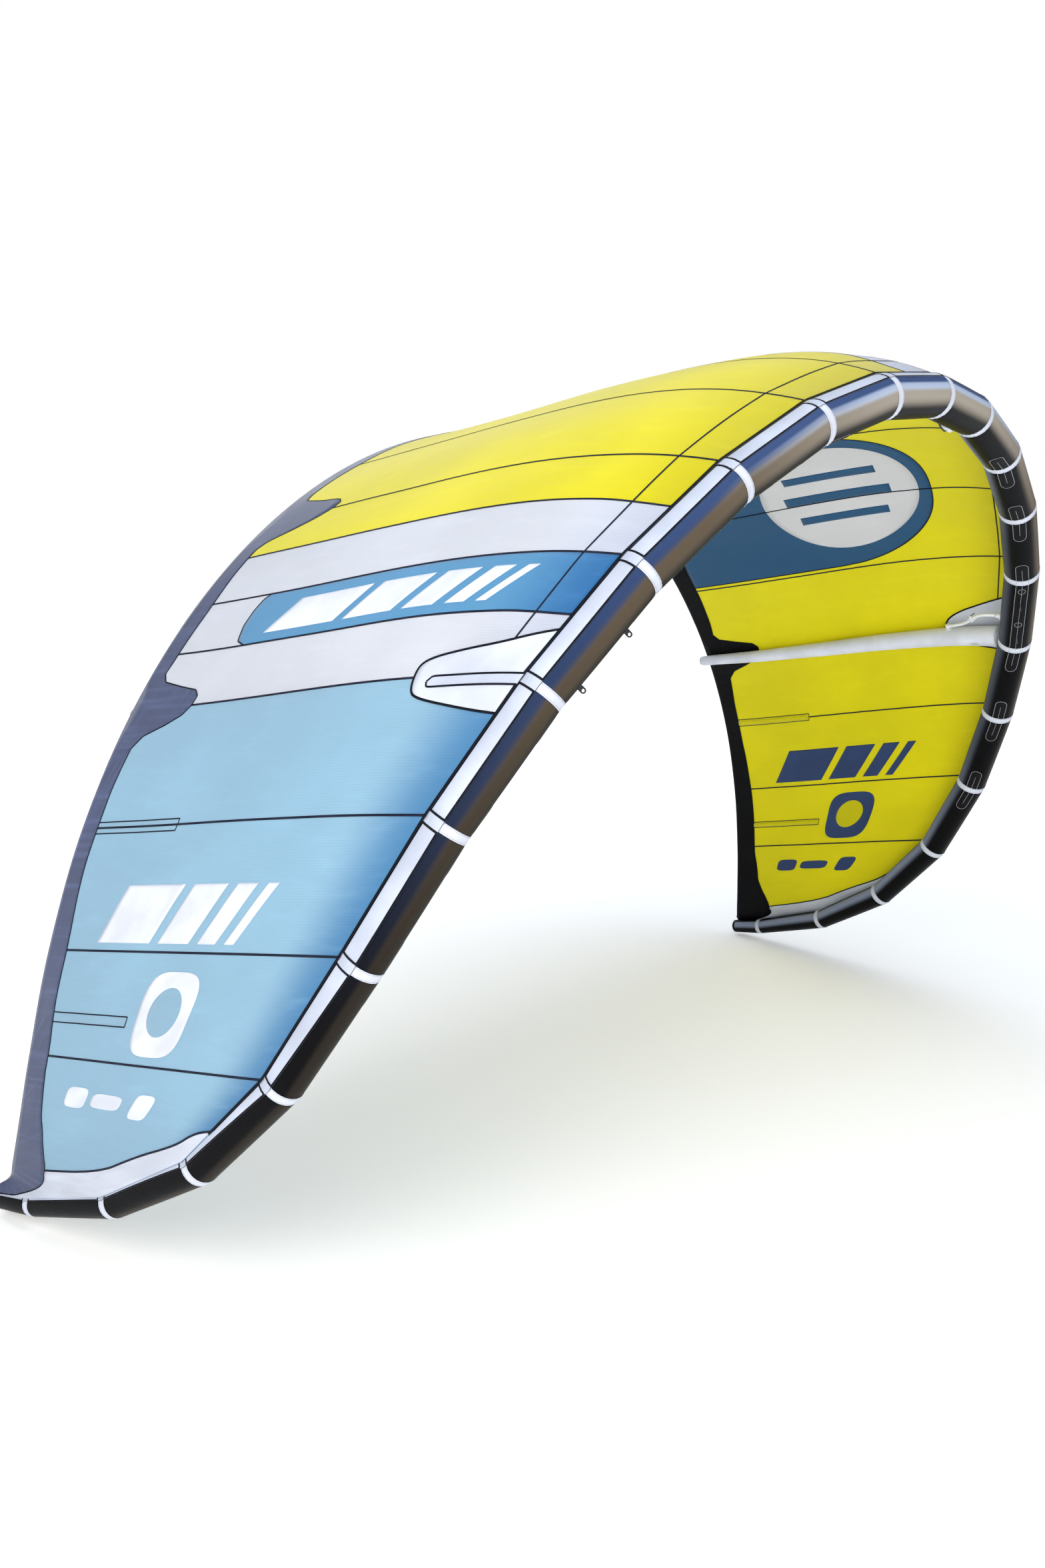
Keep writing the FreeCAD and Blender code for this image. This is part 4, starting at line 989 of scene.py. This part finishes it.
def build_tabs():
    """The tabs that cross the strip at each joint, with their dark stitched outlines."""
    for side, name in SIDES:
        cloth = Cloth()
        for k in range(0 if side < 0 else 1, STATIONS):
            angles = np.linspace(strip_front(k) + 1.0, leave_angle(k) + 2.0, 25)
            offsets = np.linspace(-TAB_HALF, TAB_HALF, 9)
            joint_slab(cloth, k, side, offsets, angles, STRIP_TOP, TAPE_THICK, 0, tube_radius(k))
            for middle in (TAB_EDGE,) if k == 0 else (-TAB_EDGE, TAB_EDGE):
                offsets = [middle - TAB_EDGE_HALF, middle + TAB_EDGE_HALF]
                lift = STRIP_TOP + TAB_LINE_LIFT
                joint_slab(cloth, k, side, offsets, angles, lift, TAB_LINE_THICK, 1)
        materials = [STRIP, DARK_LINE]
        cloth.piece("spine_tabs_" + name + "_cloth", materials, "strut_white", ["spine_tabs_" + name])


def ring_points(centre, first, second, reach, a, side):
    ring = centre + np.multiply.outer(np.cos(a) * reach, first) + np.multiply.outer(np.sin(a) * reach, second)
    ring[:, 0] *= side
    return ring


def build_tips():
    """The round cloth ends of the tube, puffed out a little by the air inside."""
    turns = np.radians(np.linspace(0, 360, TUBE_TURNS + 1))
    along, out, back = AXES[STATIONS]
    edge = TUBE_TIP + 0.0006
    for side, name in SIDES:
        rings = []
        for r, rise in TIP_RINGS:
            centre = JOINTS[STATIONS] + along * rise + SHIFT
            rings.append(ring_points(centre, out, back, edge * r, turns[:-1], side))
        round_uv = np.stack([np.cos(turns), np.sin(turns)], axis=1) * edge
        uv = np.array([r * round_uv for r, _ in TIP_RINGS])
        cloth = Cloth()
        cloth.grid(np.array(rings), uv, closed=True, flip=side > 0)
        cloth.piece("tube_end_" + name, [TUBE], "tube_black", ["tip_closure_" + name])


build_strip()
build_bands()
build_tabs()
build_tips()

# ---- struts

STRUT_FRONT, STRUT_BACK, STRUT_OVERHANG = 0.041, 0.022, 0.024
STRUT_GAP, STRUT_CLOTH, TUBE_CLEAR = 0.0020, 0.0015, -0.008
STRUT_RINGS, STRUT_TURNS = 60, 56
STRUT_NOSE, STRUT_DOME, DOME_STEPS = 0.006, 0.020, 8
STRUT_NODES = (("centre", 0, 1), ("left", 5, -1), ("right", 5, 1))


def strut_radius(t):
    return STRUT_FRONT + (STRUT_BACK - STRUT_FRONT) * t


def strut_frame(k, t):
    """Axis point, direction and outward direction of station k's strut at a share of the chord."""
    inside = min(max(t, 0.0), 1.0)
    behind, here, ahead = station(k, np.array([max(inside - 0.01, 0.0), inside, min(inside + 0.01, 1.0)]))
    along = unit(ahead - behind)
    out = tube_axes(k)[1]
    out = unit(out - along * along.dot(out))
    centre = here - out * (STRUT_CLOTH + STRUT_GAP + strut_radius(inside))
    if t > 1.0:
        centre = centre + along * ((t - 1.0) * CHORDS[k])
    return centre, along, out


def strut_rows(k):
    """Shares of the chord for a strut's rings, and each ring's size as a share of the radius."""
    chord = CHORDS[k]
    first = (tube_radius(k) + TUBE_CLEAR) / chord
    last = 1.0 + STRUT_OVERHANG / chord
    nose, dome = STRUT_NOSE / chord, STRUT_DOME / chord
    rows = [(first, 0.0)]
    rows += [(first + nose * (1 - math.cos(a)), size) for a, size in ((0.0, 0.90), (0.7, 0.97), (1.2, 0.995))]
    rows += [(t, 1.0) for t in np.linspace(first + 2 * nose, last - dome, STRUT_RINGS)]
    for i in range(1, DOME_STEPS + 1):
        a = math.pi / 2 * i / DOME_STEPS
        size = max(math.cos(a) ** 0.6, 0.02) if i < DOME_STEPS else 0.0
        rows.append((last - dome + dome * math.sin(a) * 0.98, size))
    return rows


def build_strut(name, k, side):
    turns = np.radians(np.linspace(0, 360, STRUT_TURNS + 1))
    a = turns[:-1]
    bend = np.degrees(np.minimum(a, 2 * math.pi - a))
    top = np.array([smooth((34.0 - b) / 14.0) for b in bend])
    rings, uv = [], []
    for i, (t, size) in enumerate(strut_rows(k)):
        centre, along, out = strut_frame(k, t)
        radius = strut_radius(min(t, 1.0))
        flat = radius / np.maximum(np.cos(a), 0.5) + (STRUT_GAP + STRUT_CLOTH - CLOTH) * 0.7
        reach = radius + (flat - radius) * top * (1.0 if 0.02 < t < 0.995 else 0.0)
        reach = (reach + 0.0004 * np.sin(a * 3 + i * 0.4)) * size
        rings.append(ring_points(centre, out, np.cross(along, out), reach, a, side))
        uv.append([(t * CHORDS[k], x * STRUT_FRONT) for x in turns])
    cloth = Cloth()
    cloth.grid(np.array(rings), np.array(uv), closed=True, flip=side < 0)
    cloth.piece("strut_" + name, [STRUT], "strut_white", ["strut_casing_" + name])


for row in STRUT_NODES:
    build_strut(*row)

# ---- patches, panels and prints

LAYER, PANEL_LIFT, PATCH_LIFT = 0.0005, 0.0002, 0.0010
PANEL_TOP = PANEL_LIFT + LAYER
PRINT, PRINT_GAP = 0.00025, 0.0001
PRINT_LIFT = PANEL_TOP + PRINT_GAP
EDGE_START = 0.003
PATCH_EDGE = (
    (4.62, 0.0), (4.66, 0.03), (4.75, 0.08), (4.80, 0.135), (4.85, 0.19), (4.90, 0.21), (5.00, 0.206),
    (5.10, 0.195), (5.15, 0.18), (5.20, 0.13), (5.25, 0.055), (5.27, 0.0))
PATCH_INNER = (
    (4.47, 0.0), (4.55, 0.045), (4.66, 0.11), (4.74, 0.165), (4.82, 0.197), (4.90, 0.206), (5.00, 0.206),
    (5.10, 0.195), (5.15, 0.18), (5.20, 0.13), (5.25, 0.055), (5.27, 0.0))
PATCH_FACES = ((PATCH_EDGE, "out"), (PATCH_INNER, "in"))
TIP_EDGE = ((8.62, 0.0), (8.65, 0.075), (8.8, 0.10), (9.1, 0.23), (9.5, 0.30), (9.9, 0.67))
LOGO_END = ((-4.5, 0.745), (-4.45, 0.772), (-4.3, 0.785), (-4.15, 0.785), (-4.05, 0.778), (-4.0, 0.765))
EMBLEM_FROM, EMBLEM_TO = 1.98, 3.95
STRIPE_BLOCKS = ((0.585, 0.190), (0.405, 0.120), (0.285, 0.070), (0.205, 0.040), (0.152, 0.020))
NAME_BLOCKS = ((0.675, 0.200), (0.490, 0.110), (0.375, 0.060), (0.300, 0.030))
SMALL_MARKS = ((0.70, 0.13, 0.055), (0.545, 0.09, 0.075), (0.37, 0.15, 0.045))
EMBLEM_BARS = ((2.62, 0.11, 0.115), (2.93, 0.13, 0.135), (3.24, 0.11, 0.115))
PRINT_FACES = ((-1, 0, "out"), (1, 1, "in"))


def soft_outline(points, rounds=2):
    """Cuts the corners of an open outline, so that it reads as a sewn curve."""
    for _ in range(rounds):
        finer = [points[0]]
        for a, b in zip(points[:-1], points[1:]):
            finer += [(a[0] * p + b[0] * q, a[1] * p + b[1] * q) for p, q in ((0.75, 0.25), (0.25, 0.75))]
        points = finer + [points[-1]]
    return points


def mirror_path(points, side):
    return [(side * s, xi) for s, xi in points]


def build_logo_panel():
    cloth = Cloth()
    columns = np.linspace(LOGO_END[0][0], LOGO_END[-1][0], 15)
    highs = np.interp(columns, *zip(*LOGO_END))
    shape_slab(cloth, columns, [0.004] * len(columns), highs, PANEL_LIFT, LAYER, rows=60)
    return cloth.piece("stripe_panel", [LOGO_BLUE], "canopy_blue")


def emblem_columns():
    middle = np.linspace(2.23, 3.71, 34)
    return np.concatenate([np.linspace(EMBLEM_FROM, 2.2, 14), middle, np.linspace(3.74, EMBLEM_TO, 14)])


def emblem_front(s):
    """The rounded front of the steel panel, as a share of the chord."""
    u = (s - (EMBLEM_FROM + EMBLEM_TO) / 2) / ((EMBLEM_TO - EMBLEM_FROM) / 2)
    return 0.205 + 0.27 * (1 - math.sqrt(max(1 - min(abs(u), 1.0) ** 2.4, 0.0)))


def build_emblem_panel():
    cloth = Cloth()
    columns = emblem_columns()
    lows, highs = [emblem_front(c) for c in columns], [band_edge(c) for c in columns]
    shape_slab(cloth, columns, lows, highs, PANEL_LIFT, LAYER, 0, ("in",), 44)
    return cloth.piece("round_panel", [STEEL], "canopy_blue")


def disc_slab(cloth, centre, size, lift, slot, face, steps=28, power=2.0):
    """A round print: centre and half sizes are (s, xi)."""
    turns = np.sin(np.linspace(-math.pi / 2, math.pi / 2, steps + 1)) * 0.9995
    half = [size[1] * (1 - abs(u) ** power) ** (1 / power) for u in turns]
    lows, highs = [centre[1] - h for h in half], [centre[1] + h for h in half]
    shape_slab(cloth, centre[0] + size[0] * turns, lows, highs, lift, PRINT, slot, (face,), 16)


def bar_slab(cloth, s_ends, middle, slant, wide, lift, slot, face):
    """A slanted block between two values of s, at a middle share of the chord."""
    leaning = middle + slant * (np.linspace(0, 1, 21) - 0.5)
    lows, highs = leaning - wide / 2, leaning + wide / 2
    shape_slab(cloth, np.linspace(*s_ends, 21), lows, highs, lift, PRINT, slot, (face,))


def build_prints():
    """Plain blocks, stripes and discs where a maker would print the kite's name and size."""
    cloth = Cloth()
    for middle, wide in STRIPE_BLOCKS:
        bar_slab(cloth, (-4.41, -4.11), middle, -0.05, wide, PRINT_LIFT, 0, "out")
    for side, slot, face in PRINT_FACES:
        for middle, wide in NAME_BLOCKS:
            bar_slab(cloth, (side * 6.93, side * 6.47), middle, -0.06, wide, LAYER, slot, face)
        disc_slab(cloth, (side * 7.53, 0.455), (0.375, 0.098), LAYER, slot, face, power=3.6)
        for middle, size, wide in SMALL_MARKS:
            disc_slab(cloth, (side * 8.44, middle), (size, wide), LAYER, slot, face, power=4.0)
    disc_slab(cloth, (2.94, 0.432), (0.77, 0.198), PRINT_LIFT, 2, "in", steps=44)
    return cloth.piece("plain_prints", [MARK_WHITE, MARK_NAVY, PALE], "white_cloth")


def build_insets():
    """The inner part of each badge, in the cloth's own colour, and the bars on the pale disc."""
    cloth = Cloth()
    for side, slot, face in PRINT_FACES:
        disc_slab(cloth, (side * 7.50, 0.455), (0.215, 0.058), LAYER + PRINT + PRINT_GAP, slot, face)
    for s, half, width in EMBLEM_BARS:
        columns = np.linspace(s - half * 0.5, s + half * 0.5, 5)
        lows, highs = [0.435 - width] * 5, [0.435 + width] * 5
        shape_slab(cloth, columns, lows, highs, PRINT_LIFT + PRINT + PRINT_GAP, PRINT, 2, ("in",), 20)
    return cloth.piece("print_insets", [BLUE, YELLOW, STEEL], "canopy_blue")


def build_patches():
    """White cloth at the strut roots and the wingtips, sewn over the canopy."""
    cloth = Cloth()
    tip_columns = np.concatenate([np.linspace(8.62, 9.9, 40), np.linspace(9.93, 12.0, 30)])
    tip_ends = []
    for c in tip_columns:
        stop = band_edge(c) + 0.004
        reach = float(np.interp(c, *zip(*soft_outline(TIP_EDGE))))
        tip_ends.append(min(reach, stop) if c <= TIP_EDGE[-1][0] else stop)
    for side, _ in SIDES:
        for edge, face in PATCH_FACES:
            columns = np.linspace(edge[0][0], edge[-1][0], 40)
            ends = np.maximum(np.interp(columns, *zip(*soft_outline(edge))), 0.004)
            shape_slab(cloth, side * columns, [EDGE_START] * 40, ends, PATCH_LIFT, LAYER, 0, (face,))
        shape_slab(cloth, side * tip_columns, [EDGE_START] * len(tip_ends), tip_ends, PANEL_LIFT, LAYER)
    nodes = both_sides("strut_patch") + both_sides("tip_panel")
    return cloth.piece("sewn_patches", [PATCH], "white_cloth", nodes)


STRAP_HALF, STRAP_END, STRAP_LIFT = 0.015, 0.172, 0.0017


def build_straps():
    """The strap that runs from each outer strut's joint back over its patch."""
    cloth = Cloth()
    chord = chord_at(5.03)
    per = (segment_length(5) + segment_length(6)) / 2
    shares = np.linspace(0.0, STRAP_END, 30)
    halves = []
    for x in shares:
        rounding = 1 - min((STRAP_END - x) * chord / STRAP_HALF, 1.0)
        halves.append(max(STRAP_HALF * math.sqrt(1 - rounding ** 2), 0.0004) / per)
    across = np.linspace(-1, 1, 7)
    for side, _ in SIDES:
        lines = []
        for a in across:
            places = [5.02 + 0.02 * smooth(x / 0.17) + a * h for x, h in zip(shares, halves)]
            lines.append([(side * s, x) for s, x in zip(places, shares)])
        top = np.array([wing_points(line, STRAP_LIFT + 0.0006) for line in lines])
        low = np.array([wing_points(line, STRAP_LIFT) for line in lines])
        uv = np.array([[(x * chord, a * STRAP_HALF) for x in shares] for a in across])
        cloth.slab(top, low, uv, 0, flip=side < 0)
        for edge in (lines[0], lines[-1]):
            wing_ribbon(cloth, edge, 0.0052, 0.0024, 1, ("out",), 0.006)
    return cloth.piece("strut_straps", [STRIP, DARK_LINE], "strut_white")


POCKET_HALF, POCKET_SWELL, ROD_HALF = 0.018, 0.0045, 0.007
POCKETS = ((6.0, 0.66), (7.6, 0.59))


def length_per_step(k):
    """Metres of leading edge for each whole step of s beyond k."""
    return segment_length(min(int(k) + 1, STATIONS))


def build_outlines():
    """Stitched edges of the patches, panels and batten pockets."""
    cloth = Cloth()
    for side, _ in SIDES:
        for edge, face in PATCH_FACES:
            outline = [p for p in soft_outline(edge) if p[1] > 0.001]
            wing_ribbon(cloth, mirror_path(outline, side), 0.0065, 0.0016, 1, (face,), 0.01)
        tip = [p for p in soft_outline(TIP_EDGE) if 0.001 < p[1] < band_edge(p[0])]
        wing_ribbon(cloth, mirror_path(tip, side), 0.0055, 0.0009, 0, step=0.012)
        for k, start in POCKETS:
            half = POCKET_HALF / length_per_step(k)
            for s in (k - half, k + half):
                wing_ribbon(cloth, mirror_path([(s, start), (s, band_edge(k))], side), 0.0035, SEAM_LIFT)
            end = mirror_path([(k - half, start), (k + half, start)], side)
            wing_ribbon(cloth, end, 0.0035, SEAM_LIFT, step=0.006)
    wing_ribbon(cloth, LOGO_END, 0.0045, PANEL_TOP + 0.0002, step=0.01)
    front = [(c, emblem_front(c)) for c in emblem_columns()]
    front = [(EMBLEM_FROM, band_edge(EMBLEM_FROM))] + front + [(EMBLEM_TO, band_edge(EMBLEM_TO))]
    wing_ribbon(cloth, front, 0.0045, PANEL_TOP + 0.0002, 1, ("in",), 0.012)
    seam = [(3, emblem_front(3)), (3, band_edge(3))]
    wing_ribbon(cloth, seam, 0.005, PRINT_LIFT + PRINT + 0.0005, 1, ("in",))
    return cloth.piece("sewn_outlines", [LINE, DARK_LINE], "dark_cloth")


def build_pockets():
    """Batten sleeves on the inner face, raised over the flat rod inside."""
    pockets, rods = Cloth(), Cloth()
    along = np.linspace(0, 1, 46)
    across = np.linspace(-1, 1, 13)
    rise = np.array([smooth(u / 0.04) for u in along])
    swell = np.array([POCKET_SWELL * (1 - smooth((abs(a) - 0.35) / 0.5)) * rise for a in across])
    for side, _ in SIDES:
        for k, start in POCKETS:
            per = length_per_step(k)
            stop = band_edge(k) - 0.002
            columns = side * (k + across * POCKET_HALF / per)
            shares = [np.linspace(start, stop, len(along))] * len(across)
            slot = 0 if side < 0 else 1
            layer(pockets, columns, shares, INSIDE - 0.0002, INSIDE - 0.0008 - swell, slot, side < 0)
            columns = side * (k + np.linspace(-1, 1, 5) * ROD_HALF / per)
            shares = [np.linspace(start + 0.01, stop - 0.01, 30)] * 5
            layer(rods, columns, shares, INSIDE - 0.0016, INSIDE - 0.0036, 0, side < 0, True)
    sleeves = pockets.piece("batten_sleeves", [BLUE, YELLOW], "canopy_yellow", both_sides("batten_pockets"))
    return sleeves, rods.piece("batten_rods", [ROD], "batten_rod", both_sides("battens"))


logo_panel = build_logo_panel()
emblem_panel = build_emblem_panel()
prints = build_prints()
insets = build_insets()
patches = build_patches()
straps = build_straps()
outlines = build_outlines()
sleeves, rods = build_pockets()

# ---- anchor patches on the tube

ANCHOR_ANGLE = -160.0
ANCHORS = ((2, 2), (3, 3), (4, 5), (6, 6), (7, 7))
ANCHOR_REACH, ANCHOR_HALF = 0.105, 0.021
EYE_RADIUS = 0.012


def tube_ribbon(cloth, side, path, width, lift):
    """A stitched line on the tube along a path of (place, angle)."""
    heights = (lift, lift + RIBBON_PROBE)
    middle, above = [np.array([tube_line(j, [a], h, side)[0] for j, a in path]) for h in heights]
    ribbon(cloth, middle, above, runs_along(middle), width, 1)


def stadium(first, last, half, radius):
    """A closed outline with round ends along the tube, as (place, angle)."""
    path = []
    for middle, turn, straight in ((last - half, -90, half), (first + half, 90, -half)):
        for a in np.radians(np.linspace(turn, turn + 180, 13)):
            path.append((middle + half * math.cos(a), half * math.sin(a)))
        ends = (last - half, first + half) if straight > 0 else (first + half, last - half)
        path += [(run, straight) for run in np.linspace(*ends, 30)[1:-1]]
    path += path[:1]
    return [(run_place(run), ANCHOR_ANGLE + math.degrees(y / radius)) for run, y in path]


def anchor_patch(cloth, side, first, last, radius):
    """A long patch with round ends on the inner side of the tube."""
    top, low, uv = [], [], []
    for run in np.linspace(first, last, 60):
        short = max(ANCHOR_HALF - (run - first), ANCHOR_HALF - (last - run), 0.0)
        half = math.sqrt(max(ANCHOR_HALF ** 2 - short ** 2, 0.0)) + 0.0004
        across = np.linspace(-half, half, 9)
        angles = ANCHOR_ANGLE + np.degrees(across / radius)
        top.append(tube_line(run_place(run), angles, 0.0007, side))
        low.append(tube_line(run_place(run), angles, 0.0002, side))
        uv.append([(run, v) for v in across])
    cloth.slab(np.array(top), np.array(low), np.array(uv), 0, flip=side > 0)


def loop_run(node):
    """The run along the tube at which a CAD bridle loop stands."""
    low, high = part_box(node)
    x = abs((low[0] + high[0]) / 2)
    k = max(i for i in STEPS[:-1] if JOINTS[i][0] <= x)
    return TUBE_RUN[k] + segment_length(k + 1) * (x - JOINTS[k][0]) / (JOINTS[k + 1][0] - JOINTS[k][0])


def build_anchors():
    cloth = Cloth()
    for side, name in SIDES:
        for low, high in ANCHORS:
            first, last = TUBE_RUN[low] - ANCHOR_REACH, TUBE_RUN[high] + ANCHOR_REACH
            radius = tube_radius(low)
            anchor_patch(cloth, side, first, last, radius)
            tube_ribbon(cloth, side, stadium(first, last, ANCHOR_HALF, radius), 0.0016, 0.0008)
            middle = [(run_place(run), ANCHOR_ANGLE) for run in np.linspace(first + 0.03, last - 0.03, 30)]
            tube_ribbon(cloth, side, middle, 0.0012, 0.0008)
        for number in ("_1", "_2"):
            run = loop_run("bridle_loop_" + name + number)
            radius = tube_radius(int(run_place(run)))
            ring = stadium(run - EYE_RADIUS, run + EYE_RADIUS, EYE_RADIUS * 0.999, radius)
            tube_ribbon(cloth, side, ring, 0.0014, 0.0010)
    cloth.piece("anchor_cloth", [ANCHOR, THREAD], "webbing", both_sides("anchor_patches"))


build_anchors()

# ---- materials for the carried CAD parts

CAD_FINISH = (
    (FILM, ("le_bladder", "strut_bladder_centre", "strut_bladder_left", "strut_bladder_right")),
    (WEBBING, both_sides("bridle_loop", ("_1", "_2"))),
    (VALVE, ("inflate_valve", "dump_valve")),
    (HOSE, ("hoses",)),
    (FITTING, ("hose_fittings", "clip_bases")),
    (CLIP, ("inflate_cap", "dump_cap", "clip_lever_centre", "clip_lever_left", "clip_lever_right")))

for material, names in CAD_FINISH:
    for name in names:
        slots = bpy.data.objects[name].data.materials
        slots.clear()
        slots.append(material)
